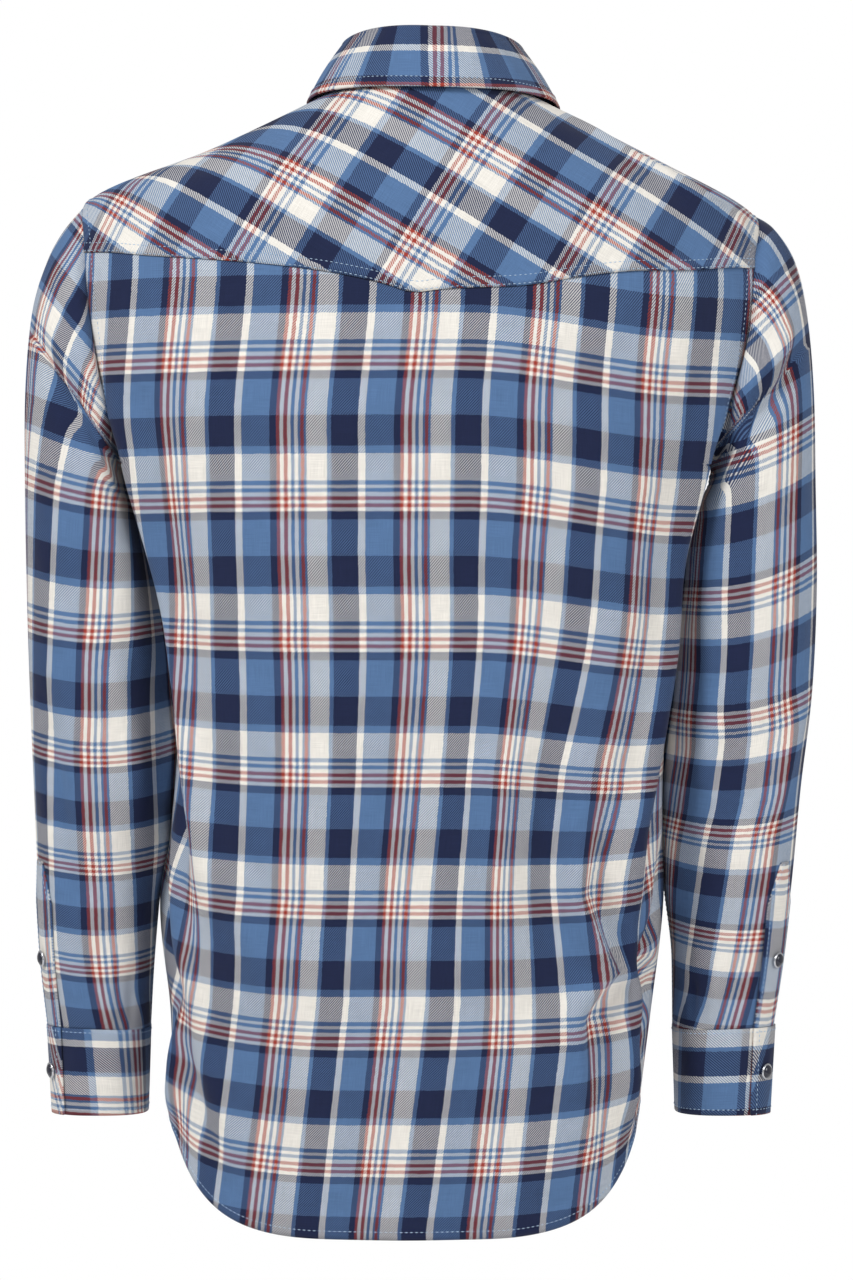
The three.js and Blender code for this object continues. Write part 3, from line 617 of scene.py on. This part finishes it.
def flannel_material(name):
    """Twill of warp and weft in their bands, blended by a brushed nap, on flat coordinates."""
    material = bpy.data.materials.new(name)
    material.use_nodes = True
    tree = material.node_tree
    tree.nodes.clear()
    uv = node(tree, "UVMap", uv_map="Cloth").outputs[0]
    split = node(tree, "SeparateXYZ", {0: uv})
    across, down = split.outputs[0], split.outputs[1]
    wander = noise(tree, uv, 260.0, 2.0)
    shift = math_node(tree, "MULTIPLY_ADD", wander, 0.0012, -0.0006)
    across_in = math_node(tree, "ADD", across, shift)
    down_in = math_node(tree, "ADD", down, shift)
    warp_at = math_node(tree, "FRACT", math_node(tree, "DIVIDE", across_in, WARP_REPEAT * MM))
    weft_at = math_node(tree, "FRACT", math_node(tree, "DIVIDE", down_in, WEFT_REPEAT * MM))
    warp = band_ramp(tree, WARP, warp_at)
    weft = band_ramp(tree, WEFT, weft_at)
    a = math_node(tree, "DIVIDE", across, TWILL_ACROSS * MM)
    b = math_node(tree, "DIVIDE", down, TWILL_DOWN * MM)
    phase = math_node(tree, "FRACT", math_node(tree, "ADD", a, b))
    wave = math_node(tree, "PINGPONG", phase, 0.5)
    on_top = node(tree, "MapRange", {0: wave, 1: 0.185, 2: 0.235}).outputs[0]
    woven = node(tree, "Mix", {0: on_top, 6: weft, 7: warp}, data_type="RGBA")
    # Brushed fibres of both yarns lie over each other, and blend their colours.
    product = node(tree, "VectorMath", {0: weft, 1: warp}, operation="MULTIPLY")
    nap = node(tree, "Gamma", {0: product.outputs[0], 1: 0.5})
    mixed = node(tree, "Mix", {0: 0.38, 6: woven.outputs[2], 7: nap.outputs[0]},
                 data_type="RGBA")
    # Yarns differ a little from one to the next, and the nap clouds the whole cloth.
    warp_yarn = node(tree, "Mapping", {0: uv, 3: (1900.0, 60.0, 1.0)}).outputs[0]
    weft_yarn = node(tree, "Mapping", {0: uv, 3: (60.0, 1900.0, 1.0)}).outputs[0]
    streak_a = noise(tree, warp_yarn, 1.0, 1.0)
    streak_b = noise(tree, weft_yarn, 1.0, 1.0)
    cloud = noise(tree, uv, 28.0, 4.0)
    streaks = math_node(tree, "ADD", streak_a, streak_b)
    tone = math_node(tree, "MULTIPLY_ADD", streaks, 0.32, 0.68)
    centred = math_node(tree, "ADD", tone, -0.08)
    tone = math_node(tree, "MULTIPLY_ADD", cloud, 0.16, centred)
    bright = node(tree, "VectorMath", {0: mixed.outputs[2], "Scale": tone},
                  operation="SCALE")
    fuzz = noise(tree, uv, 2600.0, 2.0)
    height = math_node(tree, "MULTIPLY_ADD", fuzz, 0.7, wave)
    crumple = noise(tree, uv, 22.0, 2.5)
    soft = node(tree, "Bump", {"Strength": 0.5, "Distance": 0.012,
                                         "Height": crumple})
    bump = node(tree, "Bump", {"Strength": 0.35, "Distance": 0.0003, "Height": height,
                                         "Normal": soft.outputs[0]})
    rough = node(tree, "MapRange", {0: cloud, 3: 0.82, 4: 0.96}).outputs[0]
    shader = node(tree, "BsdfPrincipled", {
        "Base Color": bright.outputs[0], "Roughness": rough, "Normal": bump.outputs[0],
        "Specular IOR Level": 0.12, "Sheen Weight": 0.08, "Sheen Roughness": 0.6})
    output = node(tree, "OutputMaterial")
    tree.links.new(shader.outputs[0], output.inputs[0])
    return material


def plain_material(name, color, roughness, metallic=0.0, coat=0.0):
    """One colour, with a fine grain in its roughness."""
    material = bpy.data.materials.new(name)
    material.use_nodes = True
    tree = material.node_tree
    shader = tree.nodes["Principled BSDF"]
    shader.inputs["Base Color"].default_value = (*color, 1)
    shader.inputs["Metallic"].default_value = metallic
    shader.inputs["Coat Weight"].default_value = coat
    where = node(tree, "TexCoord").outputs["Object"]
    grain = noise(tree, where, 900.0, 3.0)
    rough = node(tree, "MapRange",
                 {0: grain, 3: roughness * 0.8, 4: roughness * 1.2}).outputs[0]
    tree.links.new(rough, shader.inputs["Roughness"])
    return material


FLANNEL = flannel_material("flannel_check")
THREAD = plain_material("thread_blue", (0.47, 0.63, 0.82), 0.6)

# Back and back yoke
EDGE_BAND = 7.0  # a seam allowance or hem lies under its edge
HEM_BAND = 9.0
EDGE_LIFT = 0.5
YOKE_LIFT = 0.5  # the yokes lie over the panels below them
ARMHOLE_STITCH, YOKE_STITCHES, HEM_STITCH = 7.0, (1.2, 7.0), 5.5
ARMHOLES = [("left", ARMHOLE_STITCH), ("right", ARMHOLE_STITCH)]
FAR = 1e3


def raised(distance, height=EDGE_LIFT, band=EDGE_BAND, over=1.5):
    """How far a turned edge lifts the cloth, by the distance from that edge."""
    return height * smooth((band - distance) / over)


def back_grid(first, last, shares, step):
    share, level = np.meshgrid(shares, levels(first, last, step))
    turn = share * armhole_reach(ARMHOLE_BACK, level)
    return turn, level


def armhole_distance(points, level):
    """Millimetres from a body panel's side edge, along its rows, where it meets a sleeve."""
    run = run_length(points, 1)
    near = np.minimum(run, run[:, -1:] - run)
    return np.where(by_armhole(level), near, FAR)


def to_bottom(points):
    """Millimetres down a panel's columns to its lower edge."""
    run = run_length(points, 0)
    return run[-1:] - run


def add_back():
    shares = side_shares(141)
    turn, level = back_grid(BACK_YOKE_LEVEL, HEM, shares, 0.055)
    v = bent(level, BACK_YOKE_LEVEL, back_yoke_edge(turn))
    base = body_point(turn, v)
    out = raised(armhole_distance(base, level)) + raised(to_bottom(base), band=HEM_BAND)
    points = body_point(turn, v, out)
    uv = body_uv(points, len(shares) // 2, turn)
    piece = sheet_object("back", points, uv)
    sew(piece, points, [("bottom", HEM_STITCH)] + ARMHOLES, keep=by_armhole(level[:, 0]))


# The yokes are cut on the bias, so that their check runs slanting.
YOKE_BIAS = math.radians(59)
YOKE_EASE = 0.98
YOKE_START = (-0.7, 82.2)  # the check's place where across and up are 0
YOKE_MIDDLE = 3.3  # the place down the sections from which up is measured


def bias_uv(across, up):
    along, over = YOKE_EASE * math.cos(YOKE_BIAS), YOKE_EASE * math.sin(YOKE_BIAS)
    warp = YOKE_START[0] + along * across - over * up
    weft = YOKE_START[1] + over * across + along * up
    return np.stack([warp, weft], -1)


def yoke_uv(points):
    """Flat coordinates on the back yoke: across along one section, and up from it."""
    turns = np.linspace(-1, 1, 201)
    reference = body_point(turns, np.full_like(turns, YOKE_MIDDLE))
    x = points[..., 0]
    across = np.interp(x, reference[:, 0], girth_from(reference[None], len(turns) // 2)[0])
    y0 = np.interp(x, reference[:, 0], reference[:, 1])
    z0 = np.interp(x, reference[:, 0], reference[:, 2])
    up = np.sign(points[..., 2] - z0) * np.hypot(points[..., 2] - z0, points[..., 1] - y0)
    return bias_uv(across, up)


def add_back_yoke():
    shares = side_shares(121)
    turn, level = back_grid(0, BACK_YOKE_LEVEL, shares, 0.075)
    v = bent(level, BACK_YOKE_LEVEL, back_yoke_edge(turn))
    base = body_point(turn, v)
    out = YOKE_LIFT + raised(armhole_distance(base, level)) + raised(to_bottom(base))
    points = body_point(turn, v, out)
    piece = sheet_object("back_yoke", points, yoke_uv(points))
    sew(piece, points, [("bottom", distance) for distance in YOKE_STITCHES] + ARMHOLES,
        keep=by_armhole(level[:, 0]))


# Fronts and front placket
FRONT_SHIFT, FRONT_DROP = 12, 20  # where the check starts on the fronts
FRONT_MIDDLE = 4  # the column of a front that lies on the centre line
FRONT_STEP = 0.07
UNDERLAP = SOLID_CLOTH + GAP + 0.2


def front_turns(level, count):
    """Columns from past the centre to the side, as in the frame."""
    fixed = [turns_to(d, level) for d in (-PLACKET_HALF, 0.0, PLACKET_HALF)]
    outer = turns_to(OVERLAP_END, level)
    reach = armhole_reach(ARMHOLE_FRONT, level)
    columns = [lerp(fixed[0], fixed[1], t) for t in np.linspace(0, 1, 5)[:-1]]
    columns += [lerp(fixed[1], fixed[2], t) for t in np.linspace(0, 1, 5)[:-1]]
    columns += [lerp(fixed[2], outer, t) for t in np.linspace(0, 1, 7)[:-1]]
    columns += [lerp(outer, reach, t) for t in np.linspace(0, 1, count)]
    return np.stack(columns, 1)


def front_underlap(side, width):
    """The right front passes under the left one at the centre."""
    if side > 0:
        return np.zeros(width)
    down = np.zeros(width)
    down[:9] = -UNDERLAP
    down[9:15] = -UNDERLAP * (1 - smooth(np.linspace(0, 1, 7)[1:]))
    return down


def front_uv(points, column, facing):
    """Flat coordinates on a front or its placket, round it from the centre line."""
    girth = girth_from(points, column)
    down = check_down(points[..., 2], 0 * girth)
    return np.stack([facing * girth + FRONT_SHIFT, down + FRONT_DROP], -1)


def add_front(side, name):
    for piece, first, last, yoke, flat, area in (
        ("front_yoke_" + name, 0, FRONT_YOKE_LEVEL, True, (0.27, 0.24), 0.045),
        ("front_" + name, FRONT_YOKE_LEVEL, HEM, False, (0.26, 0.6), 0.135),
    ):
        rows = levels(first, last, FRONT_STEP)
        u = front_turns(rows, 60)
        level = rows[:, None] + 0 * u
        v = bent(level, FRONT_YOKE_LEVEL, front_yoke_edge(u))
        turn = side * (2 - u)
        base = body_point(turn, v)
        run = run_length(base, 1)
        near = np.where(by_armhole(level), run[:, -1:] - run, FAR)
        out = front_underlap(side, u.shape[1])[None] + raised(near)
        if yoke:
            out = out + YOKE_LIFT + raised(to_bottom(base))
        else:
            out = out + raised(to_bottom(base), band=HEM_BAND)
        points = body_point(turn, v, out)
        uv = front_yoke_uv(points) if yoke else front_uv(points, FRONT_MIDDLE, -side)
        panel = sheet_object(piece, points, uv, flip=side > 0)
        edges = YOKE_STITCHES if yoke else (HEM_STITCH,)
        sew(panel, points, [("bottom", distance) for distance in edges] + ARMHOLES[1:],
            flip=side > 0, keep=by_armhole(rows))


def front_yoke_uv(points):
    """The front yokes are cut on the bias too, as mirrors of each other."""
    up = np.hypot(points[..., 2] - 10, points[..., 1] + 5)
    return bias_uv(-np.abs(points[..., 0]) * 1.05, 150 - up)


def add_front_placket():
    rows = levels(0, HEM, FRONT_STEP)
    across = np.linspace(-PLACKET_HALF, PLACKET_HALF, 13)
    u = np.stack([turns_to(d, rows) for d in across], 1)
    level = rows[:, None] + 0 * u
    v = bent(level, FRONT_YOKE_LEVEL, front_yoke_edge(u))
    points = body_point(2 - u, v, np.full_like(u, PLACKET_LIFT))
    uv = front_uv(points, len(across) // 2, -1)
    piece = sheet_object("front_placket", points, uv, thickness=DOUBLE_CLOTH,
                         flip=True)
    sew(piece, points, [("left", 5), ("right", 5)], DOUBLE_CLOTH, flip=True)


# Sleeves
def armhole_loop(side, turn):
    """The armhole's edge on the body, just clear of it: a sleeve's first ring."""
    back = turn <= 2
    angle = np.where(back, turn, 4 - turn) * math.pi / 2
    v = 4 - 2 * np.cos(angle)
    u = 1 - np.where(back, ARMHOLE_BACK, ARMHOLE_FRONT) * np.sin(angle)
    point = body_point(side * np.where(back, u, 2 - u), v)
    point[..., 0] += side * lerp(0.3, 1.6, ((1 - np.cos(angle)) / 2) ** 2)
    return point


def sleeve_rings(side, turn):
    angle = turn * math.pi / 2
    rings = [armhole_loop(side, turn)]
    for ring in range(1, LAST_RING + 1):
        square = lerp(1, SLEEVE_SQUARE, min(ring / 3, 1))
        outer = (1 + power(np.cos(angle), square)) / 2
        at = {name: SLEEVE[name][ring] for name in SLEEVE}
        x = side * lerp(at["innerX"], at["outerX"], outer) + at["drift"]
        y = at["midY"] + at["halfDepth"] * power(np.sin(angle), square)
        z = lerp(at["innerZ"], at["outerZ"], outer)
        rings.append(np.stack([x, y, z], -1))
    return np.stack(rings)


def sleeve_base(side, turn, w):
    """Points on a sleeve for a row of turns and a column of ring places: (down, across, 3)."""
    return spline(sleeve_rings(side, np.mod(turn, 4)), w)


def sleeve_points(side, turn, w, out=0.0):
    """Points on a folded sleeve, moved out from it by some millimetres."""
    base = sleeve_base(side, turn, w)
    across = sleeve_base(side, turn + TURN_STEP, w) - sleeve_base(side, turn - TURN_STEP, w)
    near = np.maximum(w, 2 * DOWN_STEP)
    down = sleeve_base(side, turn, near + DOWN_STEP) - sleeve_base(side, turn, near - DOWN_STEP)
    normal = unit(np.cross(across, down)) * -side
    folds = LEFT_FOLDS if side > 0 else RIGHT_FOLDS
    free = (smooth(w / 1.5) * smooth((11 - w) / 0.6))[:, None]
    lift = fold_lift(folds, SLEEVE_QUARTER, np.mod(turn, 4)[None] + 0 * w[:, None], base[..., 2])
    return base + normal * (lift * free + out)[..., None]


# Where the check runs on each sleeve, by height: the distance round from the outer line to a
# narrow cream stripe, and the crosswise bundles' slope and sag. A fold parts the cap, whose
# check slants steeply, from the sleeve below it.
CAP_FOLD = {1: (10, -163, 1.4), -1: (14, -167, 1.1)}  # inset, height and slope
CAP_STRIPE = {
    1: table("z round", [[-60, 96], [-150, 102], [-230, 98]]),
    -1: table("z round", [[-60, 30], [-85, 36], [-115, 50], [-230, 42]]),
}
CAP_BUNDLES = {1: (-194, 1.2, -92), -1: (-143, 1.0, 0)}  # height, slope and place down
CAP_RATE = 0.78  # millimetres down the check for each of height on the cap
SLEEVE_STRIPE = {
    1: table("z round", [[-150, 90], [-200, 87], [-260, 71], [-430, 48], [-630, 39]]),
    -1: table("z round", [[-150, 36], [-330, 36], [-500, 29], [-630, 29]]),
}
SLEEVE_BUNDLES = {
    1: table("z slope sag down", [
        [-60, 0.3, 4, -200], [-225, 0.3, 4, -36], [-260, 0.17, 6, 0], [-350, 0, 8, 90],
        [-435, 0, 9, 182], [-510, 0, 8, 276], [-650, 0, 8, 463]]),
    -1: table("z slope sag down", [
        [-60, 0.4, 8, -87], [-240, 0.3, 8, 93], [-330, 0.15, 10, 182], [-420, 0.1, 9, 280],
        [-495, 0, 9, 369], [-565, -0.05, 8, 460], [-635, 0, 8, 555]]),
}
SLEEVE_EASE = {1: 1.0, -1: 1.1}
SLEEVE_OUTSIDE = 268.0
BUNDLE_INSET = 40.0  # from the outside, where a bundle's level is given
SAG_INSET = {1: 50.0, -1: 60.0}
SAG_WIDTH = 50


def sleeve_uv(side, points, turns):
    """Flat coordinates on a sleeve: its cap's above the fold that parts them, else the rest's."""
    outer = np.argmin(np.abs(np.mod(turns + 2, 4) - 2))
    z = points[..., 2]
    inset = SLEEVE_OUTSIDE - np.abs(points[..., 0])
    fold_inset, fold_z, fold_slope = CAP_FOLD[side]
    above = smooth((z - fold_z + fold_slope * (inset - fold_inset)) / 3 + 0.5)

    cap_across = girth_from(points, outer) - at_height(CAP_STRIPE[side], "round", z)
    level = girth_from(points * [1, 1, 0], outer)
    across = (level - at_height(SLEEVE_STRIPE[side], "round", z)) * SLEEVE_EASE[side]

    cap_z, cap_slope, cap_down = CAP_BUNDLES[side]
    capped = cap_down - (z + cap_slope * (inset - BUNDLE_INSET) - cap_z) * CAP_RATE
    bundle = SLEEVE_BUNDLES[side]
    sag = at_height(bundle, "sag", z) * ((inset - SAG_INSET[side]) / SAG_WIDTH) ** 2
    rise = at_height(bundle, "slope", z) * (inset - BUNDLE_INSET)
    down = at_height(bundle, "down", z + rise - sag)
    return np.stack([lerp(across, cap_across, above) + CREAM_STRIPE,
                     lerp(down, capped, above) * side - BUNDLE_RISE], -1)


def add_sleeve(side, name):
    turns = np.linspace(0, 4, 145) + 2  # the seam runs down the inner edge
    w = np.concatenate([np.linspace(0, 2, 30)[:-1], np.linspace(2, LAST_RING, 130)])
    points = sleeve_points(side, turns, w)
    uv = sleeve_uv(side, points, turns)
    piece = sheet_object("sleeve_" + name, points, uv, flip=side > 0)
    sew(piece, points, [("right", 5)], flip=side > 0, keep=w > 1)


SEVENTH = 1 / 7  # the frame counts places round a cuff in sevenths of a turn
PLACKET_FIRST = {"left": 1, "right": 2}
PLACKET_TOP, PLACKET_FULL = 8.8, 9.3


def add_sleeve_placket(side, name):
    half = 1.5 * SEVENTH
    middle = PLACKET_FIRST[name] * SEVENTH + half
    w = np.concatenate([np.linspace(PLACKET_TOP, PLACKET_FULL, 8)[:-1],
                        np.linspace(PLACKET_FULL, 10.97, 34)])
    shares = np.linspace(-1, 1, 13)
    points = sleeve_points(side, middle + shares * half, w, PLACKET_LIFT)
    narrow = lerp(0.3, 1, np.clip((w - PLACKET_TOP) / (PLACKET_FULL - PLACKET_TOP), 0, 1))
    middle_column = len(shares) // 2
    centre = points[:, middle_column:middle_column + 1]
    points = centre + (points - centre) * narrow[:, None, None]
    girth, down = girth_from(points, middle_column), run_length(points, 0)
    uv = np.stack([girth * -side + 5, down * side + 12], -1)
    piece = sheet_object("sleeve_placket_" + name, points, uv,
                         thickness=DOUBLE_CLOTH, flip=side > 0)
    sew(piece, points, [("left", 2.5), ("right", 2.5)], DOUBLE_CLOTH, flip=side > 0)


CUFF_OVERLAP = 3 * SEVENTH
CUFF_LAP = 2.4
CUFF_CHECK = {1: (45.5, 18.3), -1: (1, -14)}  # where the check starts, down and round


def cuff_points(side, turns, depth, lap):
    """Points on a cuff, from the sleeve's end down. Where it laps it's moved out."""
    angle = turns * math.pi / 2
    outer = (1 + power(np.cos(angle), SLEEVE_SQUARE)) / 2
    top = sleeve_base(side, turns, np.array([float(LAST_RING)]))[0]
    x = side * lerp(CUFF["innerX"], CUFF["outerX"], outer) + SLEEVE["drift"][LAST_RING]
    y = CUFF["midY"] + CUFF["halfDepth"] * power(np.sin(angle), SLEEVE_SQUARE)
    low = np.stack([x, y, np.full_like(x, CUFF["z"])], -1)
    points = lerp(top[None], low[None], depth[:, None, None])
    normal = np.stack([side * np.cos(angle), np.sin(angle), 0 * angle], -1)
    return points + normal[None] * lap[None, :, None]


def cuff_lap(turns, first):
    over = (turns - first) - (4 - CUFF_OVERLAP)
    return CUFF_LAP * smooth(over / CUFF_OVERLAP)


def add_cuff(side, name):
    first = PLACKET_FIRST[name] * SEVENTH
    turns = np.linspace(first, first + 4 + CUFF_OVERLAP, 120)
    depth = np.linspace(0, 1, 22)
    points = cuff_points(side, turns, depth, cuff_lap(turns, first))
    warp, weft = CUFF_CHECK[side]
    uv = np.stack([warp - side * run_length(points, 0), weft + run_length(points, 1)], -1)
    piece = sheet_object("cuff_" + name, points, uv, thickness=DOUBLE_CLOTH,
                         flip=side > 0)
    sew(piece, points, [("top", 2.5), ("bottom", 4), ("right", 4)],
        DOUBLE_CLOTH, flip=side > 0)


# Collar
def stand_points(turn, share, out=0.0):
    """Points on the collar stand, at a share of its height."""
    base = body_base(turn, 0 * turn)
    mid_x, side_y = BODY["midX"][0], BODY["sideY"][0]
    size = np.abs(unwrap(turn))
    height = np.where(
        size < 1, lerp(STAND["back"], STAND["side"], size),
        lerp(STAND["side"], STAND["front"], size - 1),
    )
    top = np.stack([
        mid_x + (base[..., 0] - mid_x) * STAND["narrowX"],
        side_y + (base[..., 1] - side_y) * STAND["narrowY"],
        base[..., 2] + height,
    ], -1)
    rise = top - base
    long = np.linalg.norm(rise, axis=-1, keepdims=True)
    point = base + rise * lerp(STAND["gap"] / long, 1, np.asarray(share)[..., None])
    outward = unit((point - [mid_x, side_y, 0]) * [1, 1, 0])
    return point + outward * np.asarray(out)[..., None]


def stand_top(turns):
    """The stand's upper edge and the way out from it."""
    top = stand_points(turns, np.ones_like(turns))
    return top, unit(stand_points(turns, np.ones_like(turns), np.ones_like(turns)) - top)


def leaf_edge(turn):
    """The collar leaf's lower edge, clear of the body."""
    size = np.abs(turn)
    at = np.interp(size, LEAF["turn"], np.arange(len(LEAF["turn"])))
    edge_turn, section, clear = (spline(LEAF[k], at) for k in ("edgeTurn", "section", "clearance"))
    return body_point(np.where(turn < 0, -1, 1) * edge_turn, section, clear)


def leaf_roll(turns, angles):
    """The roll from the stand's top out and over, by degrees."""
    top, out = stand_top(turns)
    a = np.radians(angles)[:, None, None]
    up = np.array([0, 0, 1.0])
    return (top + out * LEAF_ROLL["out"] * np.sin(a)
            + up * (LEAF_ROLL["up"] - LEAF_ROLL["down"] * (1 - np.cos(a))))


def leaf_points(turns, fall, lift):
    """The leaf below its roll, down to its edge: (down, across, 3)."""
    out = stand_top(turns)[1]
    share = fall[:, None, None]
    return (lerp(leaf_roll(turns, [90.0]), leaf_edge(turns)[None], share)
            + out * (LEAF_BULGE * np.sin(math.pi * share) + lift[:, None, None]))


def add_collar():
    left = 2 + float(turns_to(PLACKET_HALF, 0.0))
    turns = np.linspace(left, -left, 181)
    shares = np.linspace(0, 1, 14)
    under = np.where(turns < -1.86, -2.4, 0.0)  # the right end passes under the left one
    turn, share = np.meshgrid(turns, shares)
    points = stand_points(turn, share, under[None] + 0 * share)
    run, down = run_length(points, 1), run_length(points[::-1], 0)[::-1]
    uv = np.stack([down, run], -1)
    sheet_object("collar_stand", points, uv, thickness=DOUBLE_CLOTH)
    turns = np.linspace(LEAF["turn"][-1], -LEAF["turn"][-1], 181)
    fall = np.linspace(0, 1, 24)
    points = np.concatenate([leaf_roll(turns, np.linspace(0, 90, 7))[:-1],
                             leaf_points(turns, fall, 0.35 * smooth((fall - 0.8) / 0.03))])
    girth, down = girth_from(points[-1:], len(turns) // 2), run_length(points, 0)
    weft = -(girth - LEAF_CHECK[1]) + RED_PAIR + 0 * down
    uv = np.stack([down + LEAF_CHECK[0], weft], -1)
    piece = sheet_object("collar_leaf", points, uv, DOUBLE_CLOTH, flip=True)
    sew(piece, points, [("bottom", 6.5), ("left", 6), ("right", 6)],
        DOUBLE_CLOTH, flip=True)


add_back()
add_back_yoke()
add_front(1, "left")
add_front(-1, "right")
add_front_placket()
add_sleeve(1, "left")
add_sleeve(-1, "right")
add_sleeve_placket(1, "left")
add_sleeve_placket(-1, "right")
add_cuff(1, "left")
add_cuff(-1, "right")
add_collar()


# Snaps: a dark pearl cap in a bright rim. Columns are shares of the radius and of the height.
RIM = [(0.02, 0), (0.9, 0), (1, 0.14), (1, 0.34), (0.95, 0.48), (0.87, 0.54), (0.79, 0.46)]
CAP = [(0.8, 0.3), (0.79, 0.5), (0.7, 0.7), (0.52, 0.87), (0.28, 0.97), (0.02, 1)]
SNAP_SIDES = 36
PEARL = plain_material("snap_pearl", (0.012, 0.014, 0.03), 0.16, coat=0.6)
METAL = plain_material("snap_rim", (0.72, 0.73, 0.76), 0.24, metallic=1.0)


def snap_seat(solid):
    """A snap's seat, axis, radius and height, from the frame's solid."""
    world = np.array(solid.matrix_world)
    local = np.array([v.co for v in solid.data.vertices])
    places = (local @ world[:3, :3].T + world[:3, 3]) / MM
    centre = places.mean(0)
    axis = np.linalg.svd(places - centre)[2][2]
    along = (places - centre) @ axis
    round_it = np.linalg.norm(places - centre - along[:, None] * axis, axis=1)
    if (along * round_it).sum() / round_it.sum() > (along.max() + along.min()) / 2:
        axis, along = -axis, -along
    return centre + axis * along.min(), axis, round_it.max(), np.ptp(along)


def add_snap(name, solid):
    """A snap's rim and cap, as rings turned about its axis."""
    seat, axis, radius, height = snap_seat(solid)
    across = unit(np.cross(axis, [0.3, 0.2, 1.0]))
    other = np.cross(axis, across)
    angle = np.arange(SNAP_SIDES) * 2 * math.pi / SNAP_SIDES
    circle = np.cos(angle)[:, None] * across + np.sin(angle)[:, None] * other
    for part, profile, material in (("rim_", RIM, METAL), ("cap_", CAP, PEARL)):
        rings = [seat + circle * wide * radius + axis * high * height for wide, high in profile]
        verts = np.concatenate(rings)
        faces = []
        for j in range(len(profile) - 1):
            for i in range(SNAP_SIDES):
                a, b = j * SNAP_SIDES + i, j * SNAP_SIDES + (i + 1) % SNAP_SIDES
                faces.append((a, b, b + SNAP_SIDES, a + SNAP_SIDES))
        piece = make_object(part + name, verts, faces, material)
        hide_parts(name)


for name, solid in list(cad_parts.items()):
    if name.startswith("snap_"):
        add_snap(name, solid)


# Floor, light and camera
def add_stage():
    mesh = bpy.data.meshes.new("floor")
    size, height = 1.4, -1.15
    corners = [(-size, -size, height), (size, -size, height), (size, size, height),
               (-size, size, height)]
    mesh.from_pydata(corners, [], [(0, 1, 2, 3)])
    floor = bpy.data.objects.new("floor", mesh)
    bpy.context.collection.objects.link(floor)
    mesh.materials.append(plain_material("floor_white", (0.9, 0.9, 0.9), 0.8))


def add_light(name, place, aim, size, power):
    data = bpy.data.lights.new(name, "AREA")
    data.shape = "DISK"
    data.size = size
    data.energy = power
    lamp = bpy.data.objects.new(name, data)
    bpy.context.collection.objects.link(lamp)
    lamp.location = place
    lamp.rotation_euler = (Vector(aim) - Vector(place)).to_track_quat("-Z", "Y").to_euler()


def add_world():
    """Soft white light all round, which the camera sees as plain white."""
    world = bpy.data.worlds.new("studio")
    bpy.context.scene.world = world
    world.use_nodes = True
    tree = world.node_tree
    back = tree.nodes["Background"]
    back.inputs[0].default_value = (1, 1, 1, 1)
    seen = node(tree, "LightPath").outputs["Is Camera Ray"]
    strength = node(tree, "MapRange", {0: seen, 3: 0.36, 4: 1.0}).outputs[0]
    tree.links.new(strength, back.inputs[1])


CAMERA_DISTANCE = 2.9
PHOTO_HEIGHT = 1280
PIXEL_SIZE = 0.00068  # metres in one pixel of the photo, at the shoulders' plane
SENSOR = 36
add_stage()
add_world()
add_light("key", (1.7, 1.9, 1.5), (0, 0, -0.25), 1.0, 58)
add_light("fill", (-2.0, 1.7, 0.2), (0, 0, -0.3), 1.5, 23)

camera_data = bpy.data.cameras.new("camera")
camera_data.sensor_fit = "VERTICAL"
camera_data.sensor_height = SENSOR
camera_data.lens = SENSOR * CAMERA_DISTANCE / (PHOTO_HEIGHT * PIXEL_SIZE)
camera = bpy.data.objects.new("camera", camera_data)
camera.location = (-0.0017, CAMERA_DISTANCE, -0.3604)
camera.rotation_euler = (math.pi / 2, 0, math.pi)
bpy.context.collection.objects.link(camera)
bpy.context.scene.camera = camera
bpy.context.scene.view_settings.view_transform = "Standard"
